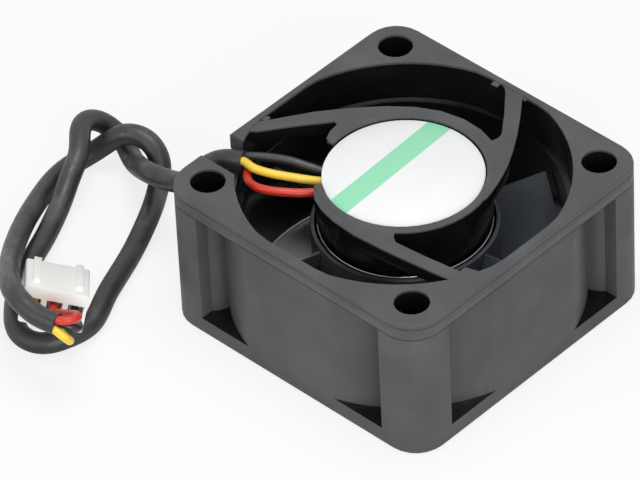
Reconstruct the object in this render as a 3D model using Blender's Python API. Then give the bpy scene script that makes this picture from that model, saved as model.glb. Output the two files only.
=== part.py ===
"""Axial cooling fan, 40 x 40 x 20 mm, with a three-wire sleeved lead and its plug.

Millimetre sizes are written in metres.  The origin is the bottom centre of the square frame, +Z is
the side that carries the motor, and the rotor turns about the Z axis.
"""
import math

import bmesh
import bpy
from mathutils import Euler, Matrix, Vector

# Frame
FRAME_SIDE = 0.0400
FRAME_DEPTH = 0.0200
CORNER_RADIUS = 0.0040
EDGE_CHAMFER = 0.0003
FLANGE_THICKNESS = 0.00235
HOLE_DIAMETER = 0.0042
SIDE_WALL = 0.0010
DUCT_STEP = 0.0001
OUTLET_STEP = 0.0007
OUTLET_DEPTH = 0.0055
OUTLET_OVERLAP = 0.0005
INLET_FLARE = 0.0004
INLET_FLARE_DEPTH = 0.0012
COLUMN_INSET = 0.0017
COLUMN_OVERLAP = 0.0015
HOLE_WALL = 0.0007
CUT_MARGIN = 0.0005

# Lead notch in the top flange
NOTCH_WIDTH = 0.0050
NOTCH_DEPTH = 0.0035
NOTCH_LENGTH = 0.0062

# Motor base, carried by the struts
BASE_RADIUS = 0.0106
BASE_RIM_WIDTH = 0.0009
BASE_RECESS = 0.0008
BASE_THICKNESS = 0.0012
STRUT_THICKNESS = 0.0019
SKIRT_STEP = 0.0003
SKIRT_WALL = 0.0007
SKIRT_LENGTH = 0.0046
SLOT_DEPTH = 0.0030
SLOT_START = math.radians(190.0)
SLOT_END = math.radians(234.0)
LABEL_THICKNESS = 0.0002

# Bearing and shaft
BEARING_WALL = 0.0010
TUBE_WALL = 0.0005
TUBE_CAP = 0.0007
TUBE_TO_BOSS = 0.0008
THRUST_PLATE_THICKNESS = 0.0003
BEARING_CHAMFER = 0.0003
SHAFT_RADIUS = 0.0010
SHAFT_HEAD = 0.0019
GROOVE_DEPTH = 0.0004
GROOVE_WIDTH = 0.0008
CLIP_THICKNESS = 0.00025
CLIP_RADIUS = 0.0018
CLIP_OPENING = math.radians(70.0)
WASHER_THICKNESS = 0.00035

# Rotor
HUB_OVERHANG = 0.0005
HUB_WALL = 0.00045
HUB_FACE_THICKNESS = 0.0008
HUB_FACE_HEIGHT = 0.0009
HUB_EDGE_RADIUS = 0.0006
RIM_TO_SKIRT = 0.0006
BOSS_RADIUS = 0.0026
BOSS_LENGTH = 0.0019
YOKE_WALL = 0.0006
YOKE_HOLE_CLEARANCE = 0.0004
MAGNET_THICKNESS = 0.0012
MAGNET_BELOW_RIM = 0.0006
BLADE_COUNT = 6
BLADE_TIP_CLEARANCE = 0.00055
BLADE_THICKNESS = 0.0009
BLADE_EDGE_THICKNESS = 0.00035
BLADE_TRAILING_ANGLE = math.radians(69.5)
BLADE_BELOW_RIM = 0.00055
BLADE_ABOVE_FACE = 0.0010
BLADE_WRAP = math.radians(34.0)
BLADE_CAMBER_WRAP = math.radians(13.0)
BLADE_CAMBER_ABOVE_FACE = 0.0041
BLADE_STATIONS = 8
BLADE_SPAN_STEPS = 4

# Stator
AIR_GAP = 0.00045
CORE_RAISE = 0.00085
MAGNET_OVERLAP = 0.00215
POLE_COUNT = 4
POLE_WIDTH = 0.0020
SHOE_SPAN = math.radians(74.0)
FORMER_THICKNESS = 0.0005
FORMER_COLLAR_WALL = 0.0008
FORMER_COLLAR_HEIGHT = 0.0017
GUARD_THICKNESS = 0.0004
GUARD_HEIGHT = 0.0012
GUARD_SPAN = math.radians(38.0)
POST_RADIUS = 0.0006
POST_CIRCLE = 0.0055
COIL_TO_RING = 0.0003
COIL_TO_SHOE = 0.0004
COIL_BUILD = 0.0009

# Circuit board and what it carries
BOARD_TO_SKIRT = 0.0004
BOARD_THICKNESS = 0.0008
BOARD_TO_BASE = 0.0010
PIN_RADIUS = 0.00025
PIN_SOCKET = 0.0009
PIN_STAND_OUT = 0.0005

# Lead: a sleeve over three strands, and its plug
SLEEVE_DIAMETER = 0.0026
STRAND_DIAMETER = 0.0011
STRAND_SPACING = 0.00135
PLUG_WIDTH = 0.0076
PLUG_DEPTH = 0.0047
PLUG_LENGTH = 0.0078
PLUG_RIB = 0.0005
PLUG_RIB_WIDTH = 0.0009
PLUG_PITCH = 0.0025
PLUG_CAVITY = 0.0018
PLUG_WINDOW_WIDTH = 0.0010
PLUG_WINDOW_LENGTH = 0.0016
PLUG_WINDOW_DEPTH = 0.0032
PLUG_OUT = 0.0041
PLUG_ALONG = -0.0236
PLUG_HEIGHT = 0.0078
PLUG_HEADING = math.radians(45.0)
PLUG_TILT = math.radians(72.0)
PLUG_ROLL = math.radians(-15.0)
CONTACT_WIDTH = 0.0012
CONTACT_LENGTH = 0.0044
CONTACT_INSET = 0.0022

# Clearances
GAP = 0.0003
FINE_GAP = 0.00025

# Roundness
ROUND_FRAME = 64
ROUND_HUB = 48
ROUND_SMALL = 24
ROUND_HOLE = 20

# Places that follow from the sizes above
HALF_SIDE = FRAME_SIDE / 2
HOLE_SPACING = FRAME_SIDE * 4 / 5
HOLE_OFFSET = HOLE_SPACING / 2
NOTCH_CENTRE_Y = -HOLE_OFFSET * 2 / 3
HOLE_RADIUS = HOLE_DIAMETER / 2
COLUMN_RADIUS = HOLE_RADIUS + HOLE_WALL
COLUMN_EDGE = HOLE_OFFSET - COLUMN_INSET
DUCT_OUTER_RADIUS = HOLE_OFFSET * math.sqrt(2) - COLUMN_OVERLAP
OUTLET_FLAT = HALF_SIDE - SIDE_WALL
DUCT_RADIUS = OUTLET_FLAT - DUCT_STEP
OUTLET_RADIUS = DUCT_RADIUS + OUTLET_STEP
BASE_SEAT = FRAME_DEPTH - BASE_RECESS
BASE_UNDERSIDE = BASE_SEAT - BASE_THICKNESS
SKIRT_RADIUS = BASE_RADIUS - SKIRT_STEP
SKIRT_BOTTOM = BASE_UNDERSIDE - SKIRT_LENGTH
SLOT_INNER_RADIUS = BASE_RADIUS - SLOT_DEPTH
HUB_RADIUS = BASE_RADIUS + HUB_OVERHANG
HUB_FACE_TOP = HUB_FACE_HEIGHT + HUB_FACE_THICKNESS
HUB_RIM_HEIGHT = SKIRT_BOTTOM - RIM_TO_SKIRT
BLADE_TRAILING_HEIGHT = HUB_RIM_HEIGHT - BLADE_BELOW_RIM
BLADE_LEADING_HEIGHT = HUB_FACE_HEIGHT + BLADE_ABOVE_FACE
BLADE_CAMBER_HEIGHT = HUB_FACE_HEIGHT + BLADE_CAMBER_ABOVE_FACE
TUBE_TOP = BASE_SEAT - GAP
TUBE_BORE = SHAFT_RADIUS + FINE_GAP + BEARING_WALL + FINE_GAP
TUBE_RADIUS = TUBE_BORE + TUBE_WALL
TUBE_BOTTOM = HUB_FACE_TOP + BOSS_LENGTH + TUBE_TO_BOSS
TUBE_LENGTH = TUBE_TOP - TUBE_BOTTOM
THRUST_PLATE_TOP = TUBE_TOP - TUBE_CAP - GAP
SHAFT_TOP = THRUST_PLATE_TOP - THRUST_PLATE_THICKNESS - GAP
SHAFT_BOTTOM = HUB_FACE_HEIGHT + HUB_FACE_THICKNESS / 2 + GAP
WASHER_BOTTOM = TUBE_BOTTOM + GAP / 2
BEARING_BOTTOM = WASHER_BOTTOM + WASHER_THICKNESS + GAP
CLIP_BOTTOM = SHAFT_TOP - SHAFT_HEAD
BEARING_LENGTH = CLIP_BOTTOM - GROOVE_WIDTH - BEARING_BOTTOM
HUB_INNER = HUB_RADIUS - HUB_WALL
YOKE_RADIUS = HUB_INNER - FINE_GAP
YOKE_BOTTOM = HUB_FACE_TOP + GAP
MAGNET_RADIUS = YOKE_RADIUS - YOKE_WALL - FINE_GAP
MAGNET_BOTTOM = YOKE_BOTTOM + YOKE_WALL + GAP
MAGNET_LENGTH = HUB_RIM_HEIGHT - MAGNET_BELOW_RIM - MAGNET_BOTTOM
STATOR_RADIUS = MAGNET_RADIUS - MAGNET_THICKNESS - AIR_GAP
STATOR_BORE = TUBE_RADIUS + GAP
CORE_RING = (STATOR_RADIUS - STATOR_BORE) * 2 / 7
SHOE_DEPTH = (STATOR_RADIUS - STATOR_BORE) / 5
COIL_START = STATOR_BORE + CORE_RING + COIL_TO_RING
COIL_DEPTH = STATOR_RADIUS - SHOE_DEPTH - COIL_TO_SHOE - COIL_START
CORE_LENGTH = MAGNET_LENGTH - 2 * MAGNET_OVERLAP
CORE_MIDDLE = MAGNET_BOTTOM + MAGNET_LENGTH / 2 + CORE_RAISE
CORE_BOTTOM = CORE_MIDDLE - CORE_LENGTH / 2
CORE_TOP = CORE_MIDDLE + CORE_LENGTH / 2
FORMER_BOTTOM = CORE_BOTTOM - GAP - FORMER_THICKNESS
FORMER_TOP = CORE_TOP + GAP + FORMER_THICKNESS
BOARD_TOP = BASE_UNDERSIDE - BOARD_TO_BASE
BOARD_BOTTOM = BOARD_TOP - BOARD_THICKNESS
BOARD_RADIUS = SKIRT_RADIUS - SKIRT_WALL - BOARD_TO_SKIRT
PLUG_PLACE = Vector((-HALF_SIDE - PLUG_OUT, NOTCH_CENTRE_Y + PLUG_ALONG, PLUG_HEIGHT))
STRAND_RADIUS = STRAND_DIAMETER / 2
SLEEVE_RADIUS = SLEEVE_DIAMETER / 2

# Outlines of the struts, seen from the motor side, from the duct wall in to the base and back.
# Each point is its share of the way from the base's edge to the outlet wall, and its angle in degrees.
STRUT_BACK = (
    (1.004, 96.7), (0.880, 92.5), (0.535, 82.9), (0.273, 71.7), (0.197, 69.7), (0.106, 69.2),
    (-0.088, 69.7), (-0.092, 42.0), (-0.093, 16.0), (0.012, 14.0), (0.030, 22.0), (0.056, 30.0),
    (0.100, 38.0), (0.165, 46.0), (0.290, 58.0), (0.455, 68.3), (0.670, 77.6), (0.880, 84.2),
    (0.994, 85.9),
)
STRUT_LEAD = (
    (1.059, 194.4), (0.895, 191.1), (0.505, 175.5), (0.277, 159.9), (0.150, 142.3),
    (0.112, 126.1), (0.104, 109.9), (0.102, 95.0), (0.102, 81.0), (0.104, 66.0), (-0.088, 66.0),
    (-0.088, 88.0), (-0.088, 110.3), (-0.138, 151.2), (-0.125, 187.3),
    (0.034, 187.9), (0.089, 181.5), (0.118, 174.1), (0.187, 173.5), (0.416, 184.4),
    (0.651, 191.9), (0.899, 197.8), (1.128, 200.0),
)
STRUT_FRONT = (
    (1.075, 338.0), (1.010, 339.2), (0.841, 335.3), (0.885, 332.7), (0.485, 322.1),
    (0.183, 308.4), (0.084, 306.8), (-0.084, 307.6), (-0.152, 240.1), (0.020, 238.0),
    (0.062, 246.0), (0.082, 256.0), (0.106, 268.0), (0.175, 284.6), (0.395, 306.6), (0.818, 323.8),
    (1.063, 329.6),
)

# Route of the sleeve.  Each point is its distance out from the side of the frame, its distance along
# that side from the middle of the notch, and its depth below the top (near the frame) or its height
# above the ground (where the sleeve lies on it)
SLEEVE_EXIT = (
    (-0.0034, 0.0013, 0.0017), (-0.0014, 0.0005, 0.0020), (0.0004, -0.0001, 0.0031),
    (0.0028, -0.0004, 0.0060), (0.0061, 0.0004, 0.0097), (0.0092, 0.0009, 0.0115),
)
SLEEVE_ROUTE = (
    (0.0131, 0.0014, 0.0072), (0.0205, 0.0060, 0.0018), (0.0240, 0.0078, 0.0020),
    (0.0263, 0.0076, 0.0032), (0.0273, 0.0059, 0.0047), (0.0266, 0.0034, 0.0055),
    (0.0238, 0.0003, 0.0049), (0.0226, -0.0026, 0.0037), (0.0211, -0.0059, 0.0023),
    (0.0192, -0.0102, 0.0016), (0.0173, -0.0148, 0.0015), (0.0154, -0.0185, 0.0015),
    (0.0131, -0.0216, 0.0016), (0.0103, -0.0242, 0.0015), (0.0080, -0.0247, 0.0014),
    (0.0060, -0.0239, 0.0014), (0.0048, -0.0219, 0.0015), (0.0042, -0.0178, 0.0014),
    (0.0064, -0.0128, 0.0017), (0.0092, -0.0059, 0.0016), (0.0119, -0.0000, 0.0022),
    (0.0151, 0.0047, 0.0016), (0.0167, 0.0069, 0.0030), (0.0186, 0.0074, 0.0047),
    (0.0205, 0.0070, 0.0053), (0.0223, 0.0061, 0.0050), (0.0238, 0.0049, 0.0035),
    (0.0250, 0.0035, 0.0022), (0.0258, 0.0017, 0.0016), (0.0260, -0.0010, 0.0014),
    (0.0249, -0.0049, 0.0016), (0.0213, -0.0119, 0.0030), (0.0156, -0.0194, 0.0058),
    (0.0073, -0.0269, 0.0113), (0.0025, -0.0280, 0.0110), (-0.0005, -0.0274, 0.0108),
)
SLEEVE_STEPS = 2

# Routes of the three strands.  Inside the frame a point is its share of the way from the base's edge
# to the outlet wall, its angle in degrees and its depth below the top; outside, it is as on the sleeve
INNER_ROUTES = {
    "black": (
        (0.61, 206.6, 0.0013), (0.36, 206.6, 0.0013), (0.12, 207.0, 0.0016),
        (-0.07, 206.8, 0.0020),
    ),
    "yellow": (
        (0.77, 214.8, 0.0011), (0.54, 216.6, 0.0013), (0.27, 217.2, 0.0016),
        (0.00, 217.0, 0.0020),
    ),
    "red": (
        (0.86, 216.1, 0.0022), (0.75, 222.4, 0.0018), (0.54, 226.6, 0.0016),
        (0.23, 228.5, 0.0018), (0.00, 228.5, 0.0020),
    ),
}
OUTER_ROUTES = {
    "black": (
        (-0.0016, -0.0261, 0.0100), (-0.0016, -0.0251, 0.0093), (-0.0002, -0.0239, 0.0083),
        (0.0010, -0.0231, 0.0078),
    ),
    "red": (
        (-0.0017, -0.0267, 0.0116), (-0.0020, -0.0257, 0.0114), (-0.0012, -0.0248, 0.0108),
        (0.0014, -0.0245, 0.0093),
    ),
    "yellow": (
        (-0.0019, -0.0277, 0.0098), (-0.0020, -0.0270, 0.0088), (-0.0008, -0.0264, 0.0082),
        (0.0032, -0.0262, 0.0086),
    ),
}
BOARD_LANDING = {"black": math.radians(207.0), "yellow": math.radians(217.0), "red": math.radians(227.0)}
LANDING_INSET = 0.0005
INNER_TURN = {"black": math.radians(20.0), "yellow": math.radians(140.0), "red": math.radians(260.0)}
OUTER_TURN = {"black": math.radians(330.0), "yellow": math.radians(210.0), "red": math.radians(90.0)}
PLUG_POSITION = {"black": 1, "red": 0, "yellow": -1}

# Finishes: colour, roughness, metallic
FINISHES = {
    "black_plastic": ((0.018, 0.019, 0.021), 0.42, 0.0),
    "blade_plastic": ((0.016, 0.019, 0.024), 0.36, 0.0),
    "label_film": ((0.86, 0.87, 0.86), 0.45, 0.0),
    "brass": ((0.70, 0.52, 0.22), 0.30, 1.0),
    "bronze": ((0.55, 0.36, 0.18), 0.45, 1.0),
    "steel": ((0.62, 0.63, 0.65), 0.25, 1.0),
    "magnet": ((0.05, 0.048, 0.045), 0.70, 0.0),
    "core_steel": ((0.42, 0.43, 0.44), 0.40, 1.0),
    "former_plastic": ((0.80, 0.78, 0.70), 0.50, 0.0),
    "copper": ((0.72, 0.30, 0.14), 0.32, 1.0),
    "board": ((0.03, 0.16, 0.07), 0.50, 0.0),
    "component": ((0.02, 0.02, 0.02), 0.50, 0.0),
    "ceramic": ((0.45, 0.33, 0.20), 0.55, 0.0),
    "tin": ((0.70, 0.70, 0.68), 0.30, 1.0),
    "nylon": ((0.85, 0.85, 0.82), 0.50, 0.0),
    "sleeve": ((0.030, 0.032, 0.035), 0.55, 0.0),
    "black": ((0.015, 0.015, 0.016), 0.45, 0.0),
    "red": ((0.55, 0.02, 0.02), 0.45, 0.0),
    "yellow": ((0.80, 0.55, 0.03), 0.45, 0.0),
}


def clear_scene():
    for item in list(bpy.data.objects):
        bpy.data.objects.remove(item, do_unlink=True)


def finish_material(name):
    existing = bpy.data.materials.get(name)
    if existing:
        return existing
    colour, roughness, metallic = FINISHES[name]
    material = bpy.data.materials.new(name)
    material.use_nodes = True
    shader = material.node_tree.nodes["Principled BSDF"]
    shader.inputs["Base Color"].default_value = (*colour, 1.0)
    shader.inputs["Roughness"].default_value = roughness
    shader.inputs["Metallic"].default_value = metallic
    return material


def add_object(name, mesh_builder, finish, place=(0.0, 0.0, 0.0), turn=(0.0, 0.0, 0.0), parent=None):
    """Make an object from a bmesh, with faces out, round sides smooth and its finish."""
    bmesh.ops.remove_doubles(mesh_builder, verts=mesh_builder.verts, dist=1e-6)
    bmesh.ops.recalc_face_normals(mesh_builder, faces=mesh_builder.faces)
    mesh = bpy.data.meshes.new(name)
    mesh_builder.to_mesh(mesh)
    mesh_builder.free()
    mesh.shade_smooth()
    mesh.set_sharp_from_angle(angle=math.radians(32.0))
    item = bpy.data.objects.new(name, mesh)
    bpy.context.collection.objects.link(item)
    item.location = place
    item.rotation_euler = turn
    if parent:
        item.parent = parent
    if finish:
        mesh.materials.append(finish_material(finish))
    return item


def make_tool(item):
    item.hide_render = True
    item.display_type = "WIRE"
    return item


def combine(target, tool, operation):
    make_tool(tool)
    step = target.modifiers.new(f"{operation.lower()}_{tool.name}", "BOOLEAN")
    step.operation = operation
    step.solver = "EXACT"
    step.object = tool


def arc(centre, radius, start, end, count):
    """Points along an arc, both ends included."""
    return [
        (centre[0] + radius * math.cos(start + (end - start) * i / (count - 1)),
         centre[1] + radius * math.sin(start + (end - start) * i / (count - 1)))
        for i in range(count)
    ]


def rounded_square(side, radius, count=7):
    inner = side / 2 - radius
    points = []
    for quarter in range(4):
        start = quarter * math.pi / 2
        x = inner * (1 if quarter in (0, 3) else -1)
        y = inner * (1 if quarter in (0, 1) else -1)
        points += arc((x, y), radius, start, start + math.pi / 2, count)
    return points


def smooth_through(points, steps, closed=False):
    """Points on a Catmull-Rom curve through the given ones."""
    given = [Vector(point) for point in points]
    if closed:
        padded = [given[-1], *given, given[0], given[1]]
    else:
        padded = [2 * given[0] - given[1], *given, 2 * given[-1] - given[-2]]
    curve = []
    for before, first, second, after in zip(padded, padded[1:], padded[2:], padded[3:]):
        for i in range(steps):
            t = i / steps
            curve.append(0.5 * (2 * first + (second - before) * t
                                + (2 * before - 5 * first + 4 * second - after) * t * t
                                + (3 * first - before - 3 * second + after) * t ** 3))
    if not closed:
        curve.append(given[-1])
    return curve


def add_turned(mesh_builder, profile, segments):
    """Turn a closed (radius, height) profile about Z."""
    verts = [mesh_builder.verts.new((radius, 0.0, height)) for radius, height in profile]
    edges = []
    for first, second in zip(verts, verts[1:] + verts[:1]):
        if first.co.x > 1e-7 or second.co.x > 1e-7:
            edges.append(mesh_builder.edges.new((first, second)))
    bmesh.ops.spin(mesh_builder, geom=verts + edges, cent=(0, 0, 0), axis=(0, 0, 1),
                   angle=math.tau, steps=segments)
    bmesh.ops.remove_doubles(mesh_builder, verts=mesh_builder.verts, dist=1e-6)


def add_prism(mesh_builder, outline, bottom, top):
    """Raise a flat outline into a prism."""
    verts = [mesh_builder.verts.new((point[0], point[1], bottom)) for point in outline]
    face = mesh_builder.faces.new(verts)
    raised = bmesh.ops.extrude_face_region(mesh_builder, geom=[face])["geom"]
    lifted = [part for part in raised if isinstance(part, bmesh.types.BMVert)]
    bmesh.ops.translate(mesh_builder, verts=lifted, vec=(0, 0, top - bottom))


def add_loft(mesh_builder, rings):
    """Skin rings of equal count and close both ends."""
    loops = [[mesh_builder.verts.new(point) for point in ring] for ring in rings]
    for lower, upper in zip(loops, loops[1:]):
        for i in range(len(lower)):
            j = (i + 1) % len(lower)
            mesh_builder.faces.new((lower[i], lower[j], upper[j], upper[i]))
    mesh_builder.faces.new(list(reversed(loops[0])))
    mesh_builder.faces.new(loops[-1])


def add_box(mesh_builder, low, high):
    middle = [(a + b) / 2 for a, b in zip(low, high)]
    size = [b - a for a, b in zip(low, high)]
    matrix = Matrix.Translation(middle) @ Matrix.Diagonal((*size, 1.0))
    bmesh.ops.create_cube(mesh_builder, size=1.0, matrix=matrix)


def add_rod(mesh_builder, radius, bottom, top, segments, centre=(0.0, 0.0)):
    add_prism(mesh_builder, arc(centre, radius, 0.0, math.tau * (1 - 1 / segments), segments), bottom, top)


def turned_object(name, profile, segments, finish, place=(0.0, 0.0, 0.0), parent=None):
    builder = bmesh.new()
    add_turned(builder, profile, segments)
    return add_object(name, builder, finish, place, parent=parent)


def ring_profile(inner, outer, bottom, top):
    return ((inner, bottom), (outer, bottom), (outer, top), (inner, top))


def tube_object(name, points, radius, finish):
    """A round cord along the given points, with flat ends."""
    curve = bpy.data.curves.new(name, "CURVE")
    curve.dimensions = "3D"
    curve.bevel_depth = radius
    curve.bevel_resolution = 2
    curve.use_fill_caps = True
    spline = curve.splines.new("POLY")
    spline.points.add(len(points) - 1)
    for slot, point in zip(spline.points, points):
        slot.co = (*point, 1.0)
    curve.materials.append(finish_material(finish))
    item = bpy.data.objects.new(name, curve)
    bpy.context.collection.objects.link(item)
    return item


def frame_block():
    """The square block with its chamfered top and bottom edges."""
    inner_side = FRAME_SIDE - 2 * EDGE_CHAMFER
    inner_radius = CORNER_RADIUS - EDGE_CHAMFER
    levels = (
        (inner_side, inner_radius, 0.0),
        (FRAME_SIDE, CORNER_RADIUS, EDGE_CHAMFER),
        (FRAME_SIDE, CORNER_RADIUS, FRAME_DEPTH - EDGE_CHAMFER),
        (inner_side, inner_radius, FRAME_DEPTH),
    )
    builder = bmesh.new()
    add_loft(builder, [[(x, y, height) for x, y in rounded_square(side, radius)]
                       for side, radius, height in levels])
    return add_object("frame_housing", builder, "black_plastic")


def duct_tool():
    """The bore: flared at the inlet, straight past the blades."""
    profile = (
        (0.0, -0.001),
        (DUCT_RADIUS + INLET_FLARE * (1 + 0.001 / INLET_FLARE_DEPTH), -0.001),
        (DUCT_RADIUS, INLET_FLARE_DEPTH),
        (DUCT_RADIUS, FRAME_DEPTH - OUTLET_DEPTH + OUTLET_OVERLAP),
        (0.0, FRAME_DEPTH - OUTLET_DEPTH + OUTLET_OVERLAP),
    )
    return turned_object("duct_tool", profile, ROUND_FRAME, None)


def outlet_tool():
    """The wider outlet, whose circle is cut flat at the middle of each side."""
    outline = []
    for i in range(ROUND_FRAME):
        angle = math.tau * i / ROUND_FRAME
        reach = OUTLET_FLAT / max(abs(math.cos(angle)), abs(math.sin(angle)))
        radius = min(OUTLET_RADIUS, reach)
        outline.append((radius * math.cos(angle), radius * math.sin(angle)))
    builder = bmesh.new()
    add_prism(builder, outline, FRAME_DEPTH - OUTLET_DEPTH, FRAME_DEPTH + 0.001)
    return add_object("outlet_tool", builder, None)


def pocket_outline():
    """One side pocket, seen from above, between the duct wall and a corner column."""
    beyond = HALF_SIDE + CUT_MARGIN
    column_radius = COLUMN_RADIUS
    rise = math.sqrt(column_radius ** 2 - COLUMN_INSET ** 2)
    start = math.atan2(rise, COLUMN_EDGE - HOLE_OFFSET)
    reach = (DUCT_OUTER_RADIUS ** 2 - 2 * HOLE_OFFSET ** 2 - column_radius ** 2) \
        / (2 * column_radius * HOLE_OFFSET * math.sqrt(2))
    end = math.radians(45.0) + math.acos(reach)
    column = arc((HOLE_OFFSET, HOLE_OFFSET), column_radius, start, end, 6)
    meet = math.atan2(column[-1][1], column[-1][0])
    duct = arc((0.0, 0.0), DUCT_OUTER_RADIUS, meet, math.asin(beyond / DUCT_OUTER_RADIUS), 7)
    return [(COLUMN_EDGE, beyond), *column, *duct[1:]]


def pockets_tool():
    """Two pockets in each of the four sides, between the flanges."""
    builder = bmesh.new()
    outline = pocket_outline()
    mirrored = [(-x, y) for x, y in reversed(outline)]
    for side in range(4):
        turn = Matrix.Rotation(side * math.pi / 2, 2)
        for shape in (outline, mirrored):
            placed = [tuple(turn @ Vector(point)) for point in shape]
            add_prism(builder, placed, FLANGE_THICKNESS, FRAME_DEPTH - FLANGE_THICKNESS)
    return add_object("pockets_tool", builder, None)


def holes_tool():
    builder = bmesh.new()
    for x in (-HOLE_OFFSET, HOLE_OFFSET):
        for y in (-HOLE_OFFSET, HOLE_OFFSET):
            add_rod(builder, HOLE_RADIUS, -0.001, FRAME_DEPTH + 0.001, ROUND_HOLE, (x, y))
    return add_object("holes_tool", builder, None)


def notch_tool():
    builder = bmesh.new()
    add_box(builder,
            (-HALF_SIDE - CUT_MARGIN, NOTCH_CENTRE_Y - NOTCH_WIDTH / 2, FRAME_DEPTH - NOTCH_DEPTH),
            (-HALF_SIDE + NOTCH_LENGTH, NOTCH_CENTRE_Y + NOTCH_WIDTH / 2, FRAME_DEPTH + 0.001))
    return add_object("notch_tool", builder, None)


def motor_base_tool():
    """The round base plate, still without its recess, and the skirt that hangs from it."""
    strut_bottom = FRAME_DEPTH - STRUT_THICKNESS
    profile = (
        (TUBE_RADIUS + GAP, BASE_UNDERSIDE),
        (SKIRT_RADIUS - SKIRT_WALL, BASE_UNDERSIDE),
        (SKIRT_RADIUS - SKIRT_WALL, SKIRT_BOTTOM),
        (SKIRT_RADIUS, SKIRT_BOTTOM),
        (SKIRT_RADIUS, strut_bottom - 0.0006),
        (BASE_RADIUS, strut_bottom - 0.0003),
        (BASE_RADIUS, FRAME_DEPTH - 0.00015),
        (BASE_RADIUS - 0.00015, FRAME_DEPTH),
        (TUBE_RADIUS + GAP, FRAME_DEPTH),
    )
    return turned_object("motor_base_tool", profile, ROUND_HUB, None)


def strut_point(share, angle):
    radius = BASE_RADIUS + share * (OUTLET_RADIUS - BASE_RADIUS)
    return radius * math.cos(math.radians(angle)), radius * math.sin(math.radians(angle))


def strut_tool(outline):
    """One of the curved struts that carry the motor base."""
    builder = bmesh.new()
    placed = [strut_point(share, angle) for share, angle in outline]
    add_prism(builder, placed, FRAME_DEPTH - STRUT_THICKNESS, FRAME_DEPTH - 0.0001)
    return add_object("strut_tool", builder, None)


def base_recess_tool():
    """The shallow round recess for the label, inside the rim."""
    builder = bmesh.new()
    add_rod(builder, BASE_RADIUS - BASE_RIM_WIDTH, BASE_SEAT, FRAME_DEPTH + 0.001, ROUND_HUB)
    return add_object("base_recess_tool", builder, None)


def lead_slot_tool():
    """The gap in the rim and the base plate through which the strands go down to the board."""
    outline = arc((0, 0), BASE_RADIUS + 0.0006, SLOT_START, SLOT_END, 9)
    outline += arc((0, 0), SLOT_INNER_RADIUS, SLOT_END, SLOT_START, 9)
    builder = bmesh.new()
    add_prism(builder, outline, BASE_UNDERSIDE - 0.0006, FRAME_DEPTH + 0.001)
    return add_object("lead_slot_tool", builder, None)


def make_frame():
    frame = frame_block()
    for tool in (duct_tool(), outlet_tool(), pockets_tool()):
        combine(frame, tool, "DIFFERENCE")
    for outline in (STRUT_BACK, STRUT_LEAD, STRUT_FRONT):
        combine(frame, strut_tool(outline), "UNION")
    combine(frame, motor_base_tool(), "UNION")
    for tool in (base_recess_tool(), lead_slot_tool(), holes_tool(), notch_tool()):
        combine(frame, tool, "DIFFERENCE")


def make_label():
    radius = BASE_RADIUS - BASE_RIM_WIDTH - 0.0002
    profile = ((0.0, 0.0), (radius, 0.0), (radius, LABEL_THICKNESS), (0.0, LABEL_THICKNESS))
    turned_object("label", profile, ROUND_HUB, "label_film", (0, 0, BASE_SEAT + FINE_GAP))


def make_bearing():
    """The closed tube, the bearing pressed into it, the thrust plate and the oil washer."""
    tube = (
        (TUBE_BORE, 0.0), (TUBE_RADIUS, 0.0), (TUBE_RADIUS, TUBE_LENGTH), (0.0, TUBE_LENGTH),
        (0.0, TUBE_LENGTH - TUBE_CAP), (TUBE_BORE, TUBE_LENGTH - TUBE_CAP),
    )
    turned_object("bearing_tube", tube, ROUND_SMALL, "brass", (0, 0, TUBE_BOTTOM))

    outer = TUBE_BORE - FINE_GAP
    inner = SHAFT_RADIUS + FINE_GAP
    sleeve = (
        (inner, BEARING_CHAMFER), (inner + BEARING_CHAMFER, 0.0), (outer - BEARING_CHAMFER, 0.0),
        (outer, BEARING_CHAMFER), (outer, BEARING_LENGTH - BEARING_CHAMFER),
        (outer - BEARING_CHAMFER, BEARING_LENGTH), (inner + BEARING_CHAMFER, BEARING_LENGTH),
        (inner, BEARING_LENGTH - BEARING_CHAMFER),
    )
    turned_object("sleeve_bearing", sleeve, ROUND_SMALL, "bronze", (0, 0, BEARING_BOTTOM))

    plate = ((0.0, 0.0), (outer, 0.0), (outer, THRUST_PLATE_THICKNESS), (0.0, THRUST_PLATE_THICKNESS))
    turned_object("thrust_plate", plate, ROUND_SMALL, "nylon",
                  (0, 0, THRUST_PLATE_TOP - THRUST_PLATE_THICKNESS))
    turned_object("oil_washer", ring_profile(inner, outer, 0.0, WASHER_THICKNESS), ROUND_SMALL,
                  "nylon", (0, 0, WASHER_BOTTOM))


def blade_camber(share):
    """Angle and height along the blade, from the trailing edge (0) to the leading edge (1)."""
    middle = 2 * share * (1 - share)
    angle = -(middle * BLADE_CAMBER_WRAP + share ** 2 * BLADE_WRAP)
    height = ((1 - share) ** 2 * BLADE_TRAILING_HEIGHT + middle * BLADE_CAMBER_HEIGHT
              + share ** 2 * BLADE_LEADING_HEIGHT)
    return angle, height


def blade_section(radius, start):
    """A closed section of the blade on the cylinder of the given radius."""
    left = []
    right = []
    for i in range(BLADE_STATIONS + 1):
        share = i / BLADE_STATIONS
        angle, height = blade_camber(share)
        ahead = blade_camber(min(1.0, share + 0.01))
        behind = blade_camber(max(0.0, share - 0.01))
        along = Vector(((ahead[0] - behind[0]) * radius, ahead[1] - behind[1])).normalized()
        half = (BLADE_EDGE_THICKNESS
                + (BLADE_THICKNESS - BLADE_EDGE_THICKNESS) * math.sin(math.pi * share) ** 0.7) / 2
        for side, shift in ((left, half), (right, -half)):
            turn = start + angle - along.y * shift / radius
            side.append((radius * math.cos(turn), radius * math.sin(turn), height + along.x * shift))
    return left + right[::-1]


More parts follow.
